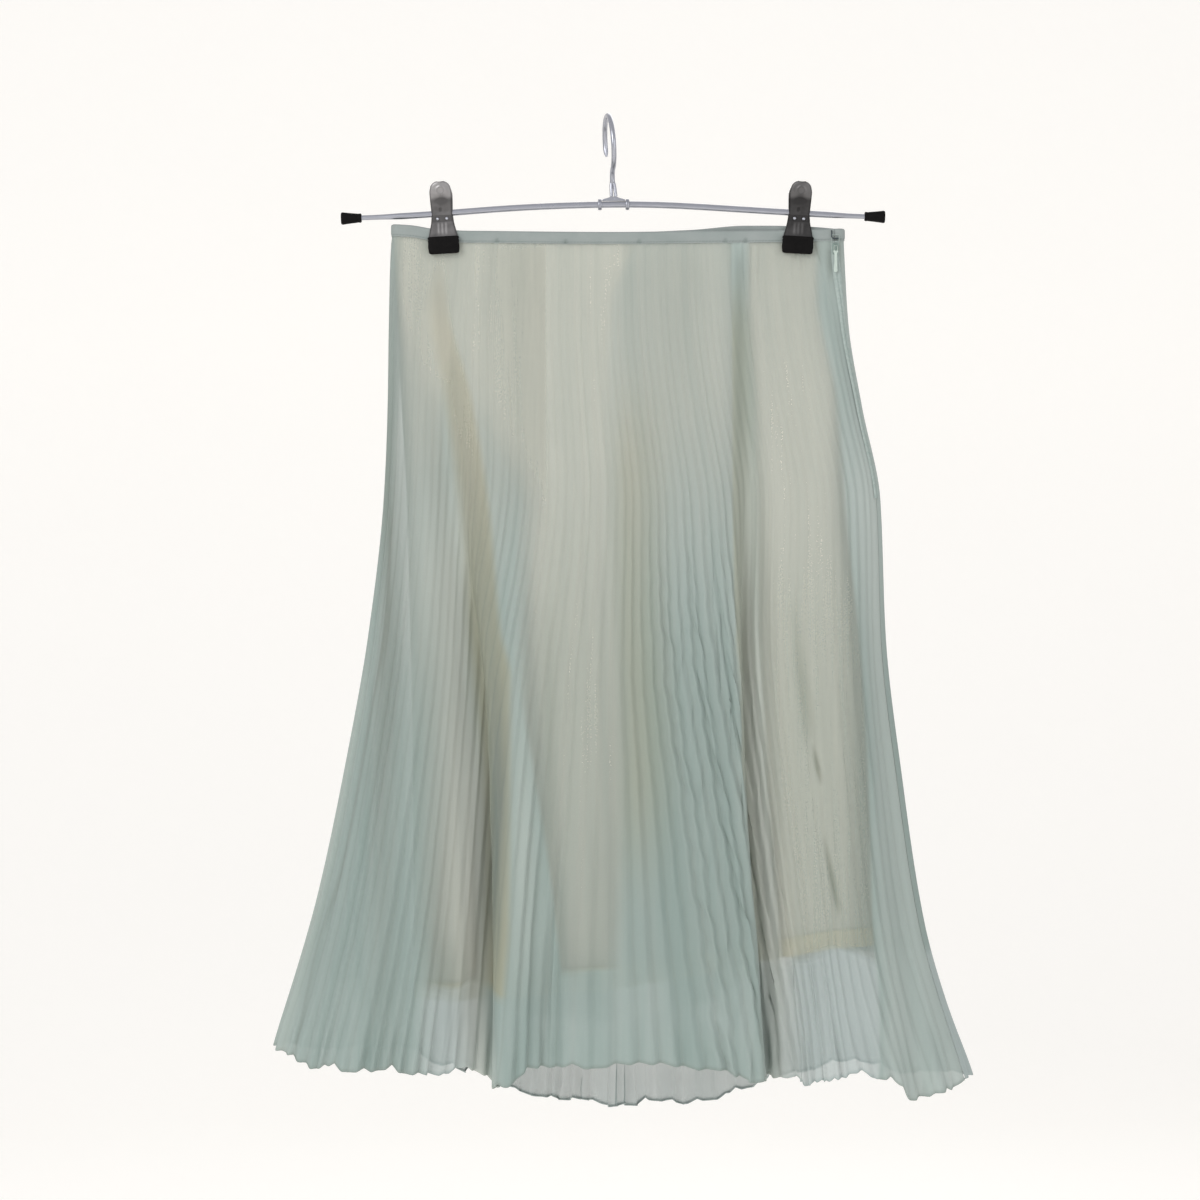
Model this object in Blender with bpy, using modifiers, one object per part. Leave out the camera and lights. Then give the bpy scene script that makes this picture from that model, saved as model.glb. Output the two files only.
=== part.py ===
"""An accordion-pleated chiffon skirt over a plain slip, clipped by its waistband to a wire hanger.

Blender 4.5. Metres, +Z up. X runs along the waist, the skirt's front faces -Y, and the origin is the
underside of the hook's crown, where it rests on a rail. Tables and helpers work in millimetres.
"""

import math

import bmesh
import bpy
from mathutils import Matrix, Vector

MM = 0.001

# The skirt's main sizes
WAIST_TOP = -88.4  # z of the waistband's upper edge
HANG_X = 5.0  # the hook leans, so the bar's middle is this far right of the crown
BAND_HEIGHT = 9.5
BAND_WALL = 3.0
BAND_INSET = 0.75  # the band's middle lies this far inside the outer cloth's
SEAM_GAP = 0.38
PLEATS = 64  # on each of the two outer panels
LENGTH = 665.0  # waistband's top edge to the nominal hem
LINING_LENGTH = 585.0
LINING_WALL = 1.0
LINING_SPREAD = 1.7  # the lining passes behind the outer skirt's folds in curves that much wider
LINING_COLUMNS = 46
BAND_COLUMNS = 44
CROWDING = 0.6  # how much closer the columns of plain cloth stand at the side folds than in the middle
FLAT_COLUMNS = 2  # half pleats pressed flat beside each side seam
SEAM_BACK = 0.027  # the zip seam sits this share of the front's arc before the right-hand fold
LOOP_STEPS = 240  # points on each half of a section's loop

# The clips, which squeeze the waist flat
CLIPS = (("left", -134.0, 3.4), ("right", 145.0, -3.4))  # name, x of the jaw, lean in degrees
SQUEEZE = 1.85  # taken off the half depth of the waist under a clip
SQUEEZE_FLAT, SQUEEZE_REACH = 14.5, 38.0  # full within the first distance of the jaw, gone at the second
GRIP = 3.6  # half the thickness of the waist under a clip
HELD_TO, FREE_AT = 21.0, 75.0  # the squeeze holds to the first distance down and is gone at the second

# Outer skirt. below: distance down from the waist's top edge. left, right: the outline from the front.
# front, back: half depths of the loop. rounding: length over which each side turns from front to back.
# pleat: half the height of a pleat. wall: thickness of the cloth.
OUTER = (
    # below, left, right, front, back, rounding, pleat, wall
    (10.0, -176.0, 182.5, 4.65, 4.65, 5.0, 0.30, 1.05),
    (21.0, -177.0, 183.0, 4.65, 4.65, 5.0, 0.34, 1.05),
    (75.0, -179.0, 186.5, 12.0, 11.0, 14.0, 0.8, 1.1),
    (140.0, -180.4, 197.5, 19.0, 17.0, 26.0, 1.1, 1.15),
    (212.0, -183.8, 212.0, 27.0, 25.0, 42.0, 1.4, 1.2),
    (320.0, -195.6, 216.5, 38.0, 35.0, 62.0, 1.7, 1.3),
    (430.0, -213.8, 229.5, 48.0, 44.0, 84.0, 2.0, 1.4),
    (545.0, -236.8, 247.5, 56.0, 52.0, 104.0, 2.2, 1.5),
    (665.0, -270.8, 284.0, 63.0, 59.0, 122.0, 2.4, 1.6),
)
# The slip that shows through the outer skirt, from the same columns
LINING = (
    (10.0, -173.9, 180.4, 2.85, 2.85, 3.25, 0.0, 1.0),
    (21.0, -173.9, 180.9, 2.85, 2.85, 3.25, 0.0, 1.0),
    (75.0, -171.0, 180.0, 8.0, 7.5, 9.0, 0.0, 1.0),
    (140.0, -168.0, 184.0, 14.0, 13.0, 18.0, 0.0, 1.0),
    (212.0, -164.0, 188.0, 20.0, 18.0, 30.0, 0.0, 1.0),
    (320.0, -161.0, 196.0, 27.0, 25.0, 44.0, 0.0, 1.0),
    (430.0, -159.0, 203.0, 32.0, 30.0, 54.0, 0.0, 1.0),
    (585.0, -158.0, 210.0, 37.0, 35.0, 66.0, 0.0, 1.0),
)
# Deep flutes and creases. share: part of the half depth that the fold takes at the hem.
FOLDS = (
    # cloth, side, x at top, x half way, x at hem, starts, share, width at top, width at hem, lean
    ("outer", "front", -150.0, -122.0, -120.0, 40.0, 0.70, 10.0, 18.0, 0.65),
    ("outer", "front", 110.0, 116.0, 144.0, 20.0, 0.68, 9.0, 17.0, -0.60),
    ("outer", "front", -170.0, -190.0, -250.0, 180.0, 0.22, 7.0, 11.0, 0.0),
    ("outer", "front", -60.0, -56.0, -54.0, 330.0, 0.18, 9.0, 12.0, 0.0),
    ("outer", "front", 190.0, 206.0, 240.0, 150.0, 0.22, 7.0, 11.0, 0.0),
    ("outer", "back", -95.0, -105.0, -135.0, 60.0, 0.55, 12.0, 24.0, 0.0),
    ("outer", "back", 5.0, 0.0, -12.0, 110.0, 0.58, 12.0, 24.0, 0.0),
    ("outer", "back", 95.0, 105.0, 138.0, 50.0, 0.55, 12.0, 24.0, 0.0),
    ("lining", "front", -100.0, -80.0, -74.0, 90.0, 0.55, 12.0, 18.0, 0.0),
    ("lining", "front", 55.0, 55.0, 57.0, 60.0, 0.60, 26.0, 38.0, 0.0),
    ("lining", "back", -60.0, -62.0, -66.0, 90.0, 0.45, 20.0, 30.0, 0.0),
    ("lining", "back", 70.0, 78.0, 86.0, 90.0, 0.45, 20.0, 30.0, 0.0),
)
# How far the hems hang past their nominal length, across the skirt from left to right
HEMS = (
    # across, outer front, outer back, lining front, lining back
    (0.00, -24.0, -24.0, 20.0, 22.0),
    (0.08, -10.0, -12.0, 20.0, 24.0),
    (0.20, -11.0, -12.0, 17.0, 23.0),
    (0.25, -5.0, -2.0, 14.0, 22.0),
    (0.27, -10.0, 2.0, 13.0, 21.0),
    (0.33, 6.0, 16.0, 10.0, 19.0),
    (0.37, -11.0, 26.0, 8.0, 18.0),
    (0.54, -14.0, 31.0, 2.0, 12.0),
    (0.63, -12.0, 31.0, -3.0, 4.0),
    (0.67, -2.0, 23.0, -5.0, 1.0),
    (0.72, -2.0, 8.0, -8.0, -4.0),
    (0.78, 1.0, 2.0, -13.0, -8.0),
    (0.83, -7.0, -2.0, -17.0, -11.0),
    (0.88, 3.0, 3.0, -20.0, -14.0),
    (0.91, 12.0, 4.0, -21.0, -15.0),
    (1.00, 1.0, 2.0, -22.0, -20.0),
)
# How far the waist's top edge rises above its nominal line
WAIST_LINE = (
    # x, front, back
    (-176.0, 4.6, 4.6),
    (-160.0, 3.8, 3.8),
    (-140.0, 0.8, 0.8),
    (-110.0, -0.6, -0.6),
    (0.0, -1.6, -1.2),
    (60.0, -1.0, 0.8),
    (105.0, -0.6, 4.2),
    (150.0, 0.4, 3.4),
    (182.0, 1.2, 1.2),
)
HEM_COLUMN = {("outer", "front"): 1, ("outer", "back"): 2, ("lining", "front"): 3, ("lining", "back"): 4}

# The hanger
BAR_RADIUS = 2.5
BAR_ENDS = (-211.0, 210.0)
BAR_MIDDLE = -68.0
BAR_SAG = 10.6  # droop of the bar's wave, which reaches its foot at the next distance from the middle
BAR_WAVE = 235.0
BAR_TILT = 0.003  # rise to the right
HOOK_WIRE = 2.0
HOOK_RADIUS = 22.0  # to the middle of the wire
HOOK_JOIN = math.radians(20)  # where the stem's bend meets the hook's circle
HOOK_TIP = math.radians(290)
HOOK_YAW = math.radians(8)  # the hook is turned across the bar, a little short of square
STEM_FOOT = -61.5
YOKE_HALF, YOKE_TOP = 9.0, 2.6  # half widths at the bar and at the stem
YOKE_WALL = 3.2
COLLAR_WIDTH = 3.0
COLLAR_RADIUS = 4.4
COLLAR_PLAY = 0.05
CAP_LENGTH = 16.0
CAP_BOTTOM = 4.0  # solid vinyl past the bar's end
CAP_RADII = (3.6, 5.0)

COLOURS = {
    # name: (red, green, blue), roughness, metallic
    "chiffon": ((0.55, 0.66, 0.60), 0.80, 0.0),
    "slip": ((0.80, 0.78, 0.66), 0.45, 0.0),
    "band": ((0.48, 0.60, 0.55), 0.70, 0.0),
    "wire": ((0.78, 0.79, 0.83), 0.25, 1.0),
    "plate": ((0.45, 0.45, 0.46), 0.28, 1.0),
    "vinyl": ((0.02, 0.02, 0.02), 0.45, 0.0),
    "zip": ((0.66, 0.74, 0.68), 0.45, 0.0),
}


def smooth(low, high, value):
    """0 below low, 1 above high, and an even curve between."""
    share = min(max((value - low) / (high - low), 0.0), 1.0)
    return share * share * (3 - 2 * share)


def read_table(table, at, column):
    """A column's value at a first-column value, straight between the rows."""
    if at <= table[0][0]:
        return table[0][column]
    for before, after in zip(table, table[1:]):
        if at <= after[0]:
            share = (at - before[0]) / (after[0] - before[0])
            return before[column] + share * (after[column] - before[column])
    return table[-1][column]


def section(table, below):
    """The row of a section table at a distance below the waist."""
    return tuple(read_table(table, below, column) for column in range(1, 8))


def fold_line(fold, below):
    """A fold's x at a distance down: through its three given places, on one curve."""
    top, middle, hem = fold[2:5]
    share = below / LENGTH
    ends = top * (1 - share) * (1 - 2 * share) + hem * share * (2 * share - 1)
    return ends + 4 * middle * share * (1 - share)


def fold_width(fold, below):
    return fold[7] + (fold[8] - fold[7]) * below / LENGTH


def grown(fold, below):
    """How much of a fold there is at a distance down, from 0 where it starts to 1."""
    return smooth(fold[5], fold[5] + 330.0, below)


def folded(cloth, side, x, below, spread=1.0):
    """What is left of the half depth at x after the folds on that side.

    With a spread, each fold is taken that much wider and centred under its leaning bottom.
    """
    left = 1.0
    for fold in FOLDS:
        if fold[:2] == (cloth, side):
            line = fold_line(fold, below)
            if spread > 1:
                line += fold[9] * grown(fold, below) * fold[6] * read_table(OUTER, below, 3)
            reach = (x - line) / (spread * fold_width(fold, below))
            left *= 1 - fold[6] * grown(fold, below) * math.exp(-reach * reach)
    return left


def squeezed(x, below):
    """How much the clips take off the half depth at x."""
    held = 1 - smooth(HELD_TO, FREE_AT, below)
    return SQUEEZE * held * max(1 - smooth(SQUEEZE_FLAT, SQUEEZE_REACH, abs(x - clip[1])) for clip in CLIPS)


def half_depth(cloth, side, x, below, spread=1.0):
    """Distance from the middle plane to the cloth's middle surface, on the front or the back."""
    left, right, front, back, rounding, pleat, wall = section(LINING if cloth == "lining" else OUTER, below)
    inset = wall / 2 + pleat
    if cloth == "band":
        inset += BAND_INSET
        front, back, rounding = front - BAND_INSET, back - BAND_INSET, rounding - BAND_INSET
    from_edge = min(x - left, right - x) - inset
    turn = 1 - min(max(from_edge / rounding, 0.0), 1.0)
    cap = math.sqrt(max(1 - turn * turn, 0.0))
    depth = (front if side == "front" else back) * cap - squeezed(x, below)
    depth *= folded("lining" if cloth == "lining" else "outer", side, x, below, spread)
    if cloth == "lining" and below > FREE_AT:
        clear = 4.0 + 5.0 * smooth(FREE_AT, 400.0, below)
        limit = half_depth("outer", side, x, below, LINING_SPREAD) - clear
        # The smaller of the two, on a soft curve where they meet.
        depth = (depth + limit - math.hypot(depth - limit, min(3.0, depth / 2))) / 2
    return depth


def leaned(x, y, below):
    """Moves a point sideways with its depth, so that the middle flute laps over its neighbours."""
    front = read_table(OUTER, below, 3)
    shift = 0.0
    for fold in FOLDS:
        if fold[9]:
            reach = (x - fold_line(fold, below)) / (2.2 * fold_width(fold, below))
            lean = fold[9] * grown(fold, below) * math.exp(-reach * reach)
            shift += lean * min(front + min(y, 0.0), fold[6] * front)
    return x + shift * (1 - smooth(0.0, 12.0, y)), y


def half_loop(cloth, side, below):
    """A section's points from the left fold to the right one, on the front or the back."""
    left, right, _, _, _, pleat, wall = section(LINING if cloth == "lining" else OUTER, below)
    inset = wall / 2 + pleat + (BAND_INSET if cloth == "band" else 0.0)
    left, right = left + inset, right - inset
    points = []
    for step in range(LOOP_STEPS + 1):
        turn = math.pi * step / LOOP_STEPS
        x = (left + right) / 2 - (right - left) / 2 * math.cos(turn)
        depth = half_depth(cloth, side, x, below)
        place = (x, -depth if side == "front" else depth)
        points.append(leaned(*place, below) if cloth == "outer" else place)
    return points


def whole_loop(cloth, below):
    """A section's points, along the front and home along the back, and how long the front is."""
    front = half_loop(cloth, "front", below)
    back = half_loop(cloth, "back", below)
    loop = front + back[::-1][1:]
    lengths = [0.0]
    for a, b in zip(loop, loop[1:]):
        lengths.append(lengths[-1] + math.dist(a, b))
    return loop, lengths, lengths[len(front) - 1]


def along(loop, lengths, distance):
    """The point at a distance round the loop, and the loop's outward normal there."""
    total = lengths[-1]
    distance %= total
    low, high = 0, len(lengths) - 1
    while high - low > 1:
        middle = (low + high) // 2
        if lengths[middle] <= distance:
            low = middle
        else:
            high = middle
    share = (distance - lengths[low]) / max(lengths[high] - lengths[low], 1e-9)
    point = [loop[low][k] + share * (loop[high][k] - loop[low][k]) for k in (0, 1)]
    ends = []
    for offset in (-0.6, 0.6):
        place = (distance + offset) % total
        index = max(i for i, length in enumerate(lengths[:-1]) if length <= place)
        part = (place - lengths[index]) / max(lengths[index + 1] - lengths[index], 1e-9)
        ends.append([loop[index][k] + part * (loop[index + 1][k] - loop[index][k]) for k in (0, 1)])
    tangent = Vector((ends[1][0] - ends[0][0], ends[1][1] - ends[0][1])).normalized()
    return point, Vector((tangent.y, -tangent.x))


def height_at(cloth, x, y, below):
    """z of a point of cloth, with the waist's rise at the top and the hem's drop at the foot."""
    side = "front" if y < 0 else "back"
    rise = read_table(WAIST_LINE, x, 1 if side == "front" else 2) * (1 - smooth(20.0, 200.0, below))
    table = LINING if cloth == "lining" else OUTER
    left, right = section(table, below)[:2]
    across = min(max((x - left) / (right - left), 0.0), 1.0)
    hem = read_table(HEMS, across, HEM_COLUMN["lining" if cloth == "lining" else "outer", side])
    drop = hem * smooth(200.0, LINING_LENGTH if cloth == "lining" else LENGTH, below)
    return WAIST_TOP + rise - below - drop


def finish(name, mesh, material):
    """An object in the skirt's collection, with its colour."""
    found = bpy.data.materials.get(material) or bpy.data.materials.new(material)
    if not found.use_nodes:
        found.use_nodes = True
        shader = found.node_tree.nodes["Principled BSDF"]
        colour, roughness, metallic = COLOURS[material]
        shader.inputs["Base Color"].default_value = (*colour, 1.0)
        shader.inputs["Roughness"].default_value = roughness
        shader.inputs["Metallic"].default_value = metallic
    mesh.materials.append(found)
    made = bpy.data.objects.new(name, mesh)
    bpy.data.collections["pleated_skirt"].objects.link(made)
    return made


def wall(name, outside, inside, material):
    """A closed sheet of cloth or metal between two grids of points, given as rows in millimetres."""
    rows, columns = len(outside), len(outside[0])
    points = [Vector(p) * MM for grid in (outside, inside) for row in grid for p in row]
    faces = []

    def at(layer, row, column):
        return (layer * rows + row) * columns + column

    for row in range(rows - 1):
        for column in range(columns - 1):
            for layer in (0, 1):
                faces.append(
                    (
                        at(layer, row, column),
                        at(layer, row, column + 1),
                        at(layer, row + 1, column + 1),
                        at(layer, row + 1, column),
                    )
                )
        for column in (0, columns - 1):
            below = row + 1
            faces.append((at(0, row, column), at(0, below, column), at(1, below, column), at(1, row, column)))
    for row in (0, rows - 1):
        for column in range(columns - 1):
            after = column + 1
            faces.append((at(0, row, column), at(0, row, after), at(1, row, after), at(1, row, column)))
    mesh = bpy.data.meshes.new(name)
    mesh.from_pydata(points, [], faces)
    shape = bmesh.new()
    shape.from_mesh(mesh)
    bmesh.ops.recalc_face_normals(shape, faces=shape.faces)
    shape.to_mesh(mesh)
    shape.free()
    return finish(name, mesh, material)


def cloth_row(cloth, below, start, end, columns, zigzag):
    """One row of a panel's outer and inner points, between two distances round the section's loop."""
    loop, lengths, _ = whole_loop(cloth, below)
    table = LINING if cloth == "lining" else OUTER
    pleat, thickness = section(table, below)[5:7]
    if cloth == "band":
        thickness = BAND_WALL
    outside, inside = [], []
    for column in range(columns + 1):
        share = column / columns
        if not zigzag:
            share -= CROWDING * math.sin(2 * math.pi * share * (2 if cloth == "band" else 1)) / (
                2 * math.pi * (2 if cloth == "band" else 1)
            )
        distance = start + (end - start) * share
        (x, y), normal = along(loop, lengths, distance)
        lift = 0.0
        if zigzag and FLAT_COLUMNS <= column <= columns - FLAT_COLUMNS:
            lift = pleat if column % 2 else -pleat
        z = height_at(cloth, x, y, below)
        for points, half in ((outside, thickness / 2), (inside, -thickness / 2)):
            points.append((x + HANG_X + normal.x * (lift + half), y + normal.y * (lift + half), z))
    return outside, inside


def seam_places(cloth, below):
    """Distances round the loop of the left side seam, the zip seam and home again."""
    _, lengths, front = whole_loop(cloth, below)
    return 0.0, front * (1 - SEAM_BACK), lengths[-1]


def panel(name, cloth, side, table, columns, zigzag, material):
    """A front or back panel, from the waistband to its hem."""
    outside, inside = [], []
    for row in table:
        start, seam, end = seam_places(cloth, row[0])
        ends = (start, seam) if side == "front" else (seam, end)
        made = cloth_row(cloth, row[0], ends[0] + SEAM_GAP / 2, ends[1] - SEAM_GAP / 2, columns, zigzag)
        outside.append(made[0])
        inside.append(made[1])
    return wall(name, outside, inside, material)


def waistband():
    """One strip round the waist, whose ends meet over the zip."""
    outside, inside = [], []
    for below in (0.0, BAND_HEIGHT):
        _, seam, total = seam_places("band", below)
        start = seam + SEAM_GAP / 2
        made = cloth_row("band", below, start, start + total - SEAM_GAP, 2 * BAND_COLUMNS, False)
        outside.append(made[0])
        inside.append(made[1])
    return wall("waistband", outside, inside, "band")


def tube(name, points, radius, material, resolution=2):
    """A round wire through points given in millimetres."""
    curve = bpy.data.curves.new(name, "CURVE")
    curve.dimensions = "3D"
    curve.bevel_depth = radius * MM
    curve.bevel_resolution = resolution
    curve.use_fill_caps = True
    spline = curve.splines.new("POLY")
    spline.points.add(len(points) - 1)
    for point, place in zip(spline.points, points):
        point.co = (*(c * MM for c in place), 1.0)
    return finish(name, curve, material)


def turned(name, profile, material, steps=20):
    """A solid turned about its own Z from a closed outline of (radius, height), in millimetres."""
    mesh = bpy.data.meshes.new(name)
    points = [(radius * MM, 0.0, height * MM) for radius, height in profile]
    count = len(points)
    mesh.from_pydata(points, [(i, (i + 1) % count) for i in range(count)], [])
    made = finish(name, mesh, material)
    screw = made.modifiers.new("turn", "SCREW")
    screw.steps = screw.render_steps = steps
    screw.use_merge_vertices = True
    screw.merge_threshold = 0.00001
    return made


def block(name, size, bevel, material):
    """A box about the origin with rounded edges, its size in millimetres."""
    mesh = bpy.data.meshes.new(name)
    shape = bmesh.new()
    bmesh.ops.create_cube(shape, size=1.0)
    bmesh.ops.scale(shape, vec=[c * MM for c in size], verts=shape.verts)
    shape.to_mesh(mesh)
    shape.free()
    made = finish(name, mesh, material)
    rounding = made.modifiers.new("edges", "BEVEL")
    rounding.width = bevel * MM
    rounding.segments = 3
    return made


def bar_height(x):
    """z of the bar's middle: a long wave that droops to both sides, tipped a little."""
    return BAR_MIDDLE - BAR_SAG * (1 - math.cos(math.pi * x / BAR_WAVE)) / 2 + BAR_TILT * x


def hanger_bar():
    steps = 16
    points = []
    for step in range(steps + 1):
        x = BAR_ENDS[0] + (BAR_ENDS[1] - BAR_ENDS[0]) * step / steps
        points.append((x + HANG_X, 0.0, bar_height(x)))
    tube("hanger_bar", points, BAR_RADIUS, "wire")


def end_caps():
    """Flared vinyl caps, each with a blind bore that takes the bar's end."""
    bore = BAR_RADIUS + SEAM_GAP
    depth = CAP_LENGTH - CAP_BOTTOM
    mouth_radius, end_radius = CAP_RADII
    profile = [(bore, 0.0), (mouth_radius, 0.0), (end_radius, CAP_LENGTH), (0.0, CAP_LENGTH)]
    profile += [(0.0, depth), (bore, depth)]
    for name, x, way in (("left", BAR_ENDS[0], -1), ("right", BAR_ENDS[1], 1)):
        cap = turned(f"bar_cap_{name}", profile[::-1], "vinyl")
        slope = math.atan(bar_height(x - way) - bar_height(x))
        over = depth - SEAM_GAP
        height = bar_height(x) + over * math.tan(slope)
        cap.location = Vector((x - way * over + HANG_X, 0.0, height)) * MM
        cap.rotation_euler = (0.0, way * (math.pi / 2 + slope), 0.0)


def hook():
    """Wire hook: a straight stem, a bend towards the front, then most of a circle round the rail."""
    centre = HOOK_WIRE - HOOK_RADIUS
    bend = HOOK_RADIUS * math.sin(HOOK_JOIN) / (1 - math.sin(HOOK_JOIN))
    bend_foot = centre - (HOOK_RADIUS + bend) * math.cos(HOOK_JOIN)
    path = [(0.0, STEM_FOOT), (0.0, (STEM_FOOT + bend_foot) / 2), (0.0, bend_foot)]
    bend_steps, circle_steps = 4, 22
    for step in range(1, bend_steps + 1):
        turn = math.pi - (math.pi / 2 - HOOK_JOIN) * step / bend_steps
        path.append((bend + bend * math.cos(turn), bend_foot + bend * math.sin(turn)))
    for step in range(1, circle_steps + 1):
        turn = HOOK_JOIN + (HOOK_TIP - HOOK_JOIN) * step / circle_steps
        path.append((HOOK_RADIUS * math.sin(turn), centre - HOOK_RADIUS * math.cos(turn)))
    points = []
    for forward, z in path:
        lean = HANG_X * z / STEM_FOOT
        points.append((lean + forward * math.sin(HOOK_YAW), -forward * math.cos(HOOK_YAW), z))
    tube("hook", points, HOOK_WIRE, "wire", resolution=3)


def yoke():
    """The saddle between stem and bar, and the two collars that grip the bar beside it."""
    top, foot = STEM_FOOT - 2 * SEAM_GAP, BAR_MIDDLE + BAR_RADIUS + SEAM_GAP
    outline = [(-YOKE_HALF, foot), (YOKE_HALF, foot), (YOKE_TOP, top), (-YOKE_TOP, top)]
    curve = bpy.data.curves.new("hook_saddle", "CURVE")
    curve.dimensions = "2D"
    curve.fill_mode = "BOTH"
    curve.extrude = YOKE_WALL / 2 * MM
    spline = curve.splines.new("POLY")
    spline.points.add(len(outline) - 1)
    spline.use_cyclic_u = True
    for point, (x, z) in zip(spline.points, outline):
        point.co = (x * MM, z * MM, 0.0, 1.0)
    saddle = finish("hook_saddle", curve, "wire")
    saddle.location = (HANG_X * MM, 0.0, 0.0)
    saddle.rotation_euler = (math.pi / 2, 0.0, 0.0)
    inner, half = BAR_RADIUS + SEAM_GAP + COLLAR_PLAY, COLLAR_WIDTH / 2
    profile = [(inner, -half), (inner, half), (COLLAR_RADIUS, half), (COLLAR_RADIUS, -half)]
    for name, way in (("left", -1), ("right", 1)):
        collar = turned(f"hook_collar_{name}", profile, "wire")
        x = way * (YOKE_HALF + SEAM_GAP + half)
        collar.location = Vector((x + HANG_X, 0.0, bar_height(x))) * MM
        collar.rotation_euler = (0.0, math.pi / 2, 0.0)


# Side view and width of a clip plate. above: height over the bar's axis. out: distance from the clip's
# middle plane to the plate's inner face. half_width: half the plate's width there.
CLIP_PLATE = (
    # above, out, half_width
    (23.6, 12.0, 3.0),
    (22.4, 11.9, 5.6),
    (19.9, 11.4, 7.6),
    (15.0, 10.0, 8.6),
    (6.0, 6.4, 8.4),
    (0.0, 4.5, 8.2),
    (-7.0, 4.5, 8.8),
    (-14.0, 4.9, 10.4),
    (-19.0, 5.1, 11.6),
)
PLATE_WALL = 1.0
PLATE_COLUMNS = 6
PLATE_CROWN = 1.0  # how far the plate's edges bend back towards the cloth
PAD_SIZE = (24.5, 3.8, 13.0)
SPRING_WIRE = 0.6
SPRING_TURNS = 3


def clip_plate(name, way, holder):
    """One stamped plate of a clip; way is -1 in front and 1 behind."""
    outside, inside = [], []
    for above, out, half_width in CLIP_PLATE:
        crown = PLATE_CROWN * smooth(0.0, 10.0, above)
        rows = ([], [])
        for column in range(PLATE_COLUMNS + 1):
            across = 2 * column / PLATE_COLUMNS - 1
            depth = out + crown * (1 - across * across)
            for row, extra in zip(rows, (PLATE_WALL, 0.0)):
                row.append((across * half_width, way * (depth + extra), above))
        outside.append(rows[0])
        inside.append(rows[1])
    wall(name, outside, inside, "plate").parent = holder


def clips():
    """Two spring clips threaded on the bar, whose vinyl pads grip the waistband."""
    for name, jaw_x, lean in CLIPS:
        tilt = math.radians(lean)
        pad_top = CLIP_PLATE[-1][0] - SEAM_GAP
        pad_middle = pad_top - PAD_SIZE[2] / 2
        x = jaw_x + math.sin(tilt) * pad_middle
        holder = bpy.data.objects.new(f"clip_{name}", None)
        bpy.data.collections["pleated_skirt"].objects.link(holder)
        holder.location = Vector((x + HANG_X, 0.0, bar_height(x))) * MM
        holder.rotation_euler = (0.0, -tilt, 0.0)
        for side, way in (("front", -1), ("back", 1)):
            clip_plate(f"clip_{name}_plate_{side}", way, holder)
            pad = block(f"clip_{name}_pad_{side}", PAD_SIZE, 1.2, "vinyl")
            pad.parent = holder
            pad.location = Vector((0.0, way * (GRIP + SEAM_GAP + PAD_SIZE[1] / 2), pad_middle)) * MM
        radius = BAR_RADIUS + SEAM_GAP + SPRING_WIRE
        per_turn = 9
        coil = []
        for step in range(SPRING_TURNS * per_turn + 1):
            turn = 2 * math.pi * step / per_turn
            shift = 2.4 * (step / per_turn - SPRING_TURNS / 2)
            coil.append((shift, radius * math.cos(turn), radius * math.sin(turn)))
        tube(f"clip_{name}_spring", coil, SPRING_WIRE, "wire", resolution=1).parent = holder


ZIP_ROWS = (10.0, 21.0, 75.0, 140.0, 212.0)
ZIP_HALF = 3.0
ZIP_WALL = 1.0
SLIDER_TOP, SLIDER_FOOT = 12.0, 21.0  # below the waist's top edge
SLIDER_HALF = 3.0
SLIDER_BASE = 1.3
EAR = 0.8
EAR_HEIGHT = 2.2
PULL_LENGTH = 19.0
PULL_WALL = 1.2
PULL_ABOVE = 0.6  # the pull's top edge over its axis
PIVOT_OUT = 1.2  # the pull's axis, out from the slider's base
PIVOT_BELOW = 14.0


def zip_tape():
    """The closed zip: a narrow lip laid over the right-hand seam, made from the panels' points moved out."""
    outside, inside = [], []
    for below in ZIP_ROWS:
        loop, lengths, _ = whole_loop("outer", below)
        seam = seam_places("outer", below)[1]
        thickness = section(OUTER, below)[6]
        rows = ([], [])
        for across in (-ZIP_HALF, 0.0, ZIP_HALF):
            (x, y), normal = along(loop, lengths, seam + across)
            z = height_at("outer", x, y, below)
            lift = thickness / 2 + SEAM_GAP
            for row, out in zip(rows, (lift + ZIP_WALL, lift)):
                row.append((x + HANG_X + normal.x * out, y + normal.y * out, z))
        outside.append(rows[0])
        inside.append(rows[1])
    wall("zip_tape", outside, inside, "zip")


def prism(name, outline, low, high, material):
    """An outline of (x, y) stretched between two heights, all in millimetres."""
    rows = [[(x, y, z) for x, y in outline] for z in (high, low)]
    points = [Vector(p) * MM for row in rows for p in row]
    count = len(outline)
    faces = [tuple(range(count)), tuple(range(2 * count - 1, count - 1, -1))]
    faces += [(i, (i + 1) % count, (i + 1) % count + count, i + count) for i in range(count)]
    mesh = bpy.data.meshes.new(name)
    mesh.from_pydata(points, [], faces)
    shape = bmesh.new()
    shape.from_mesh(mesh)
    bmesh.ops.recalc_face_normals(shape, faces=shape.faces)
    shape.to_mesh(mesh)
    shape.free()
    return finish(name, mesh, material)


def zip_place():
    """x of the zip's middle at the slider, and y of the tape's outer face there."""
    below = SLIDER_FOOT
    loop, lengths, _ = whole_loop("outer", below)
    seam = seam_places("outer", below)[1]
    places = [along(loop, lengths, seam + across)[0] for across in (0.0, -SLIDER_HALF, SLIDER_HALF)]
    y = min(place[1] for place in places)
    return places[0][0] + HANG_X, y - section(OUTER, below)[6] / 2 - SEAM_GAP - ZIP_WALL


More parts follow.
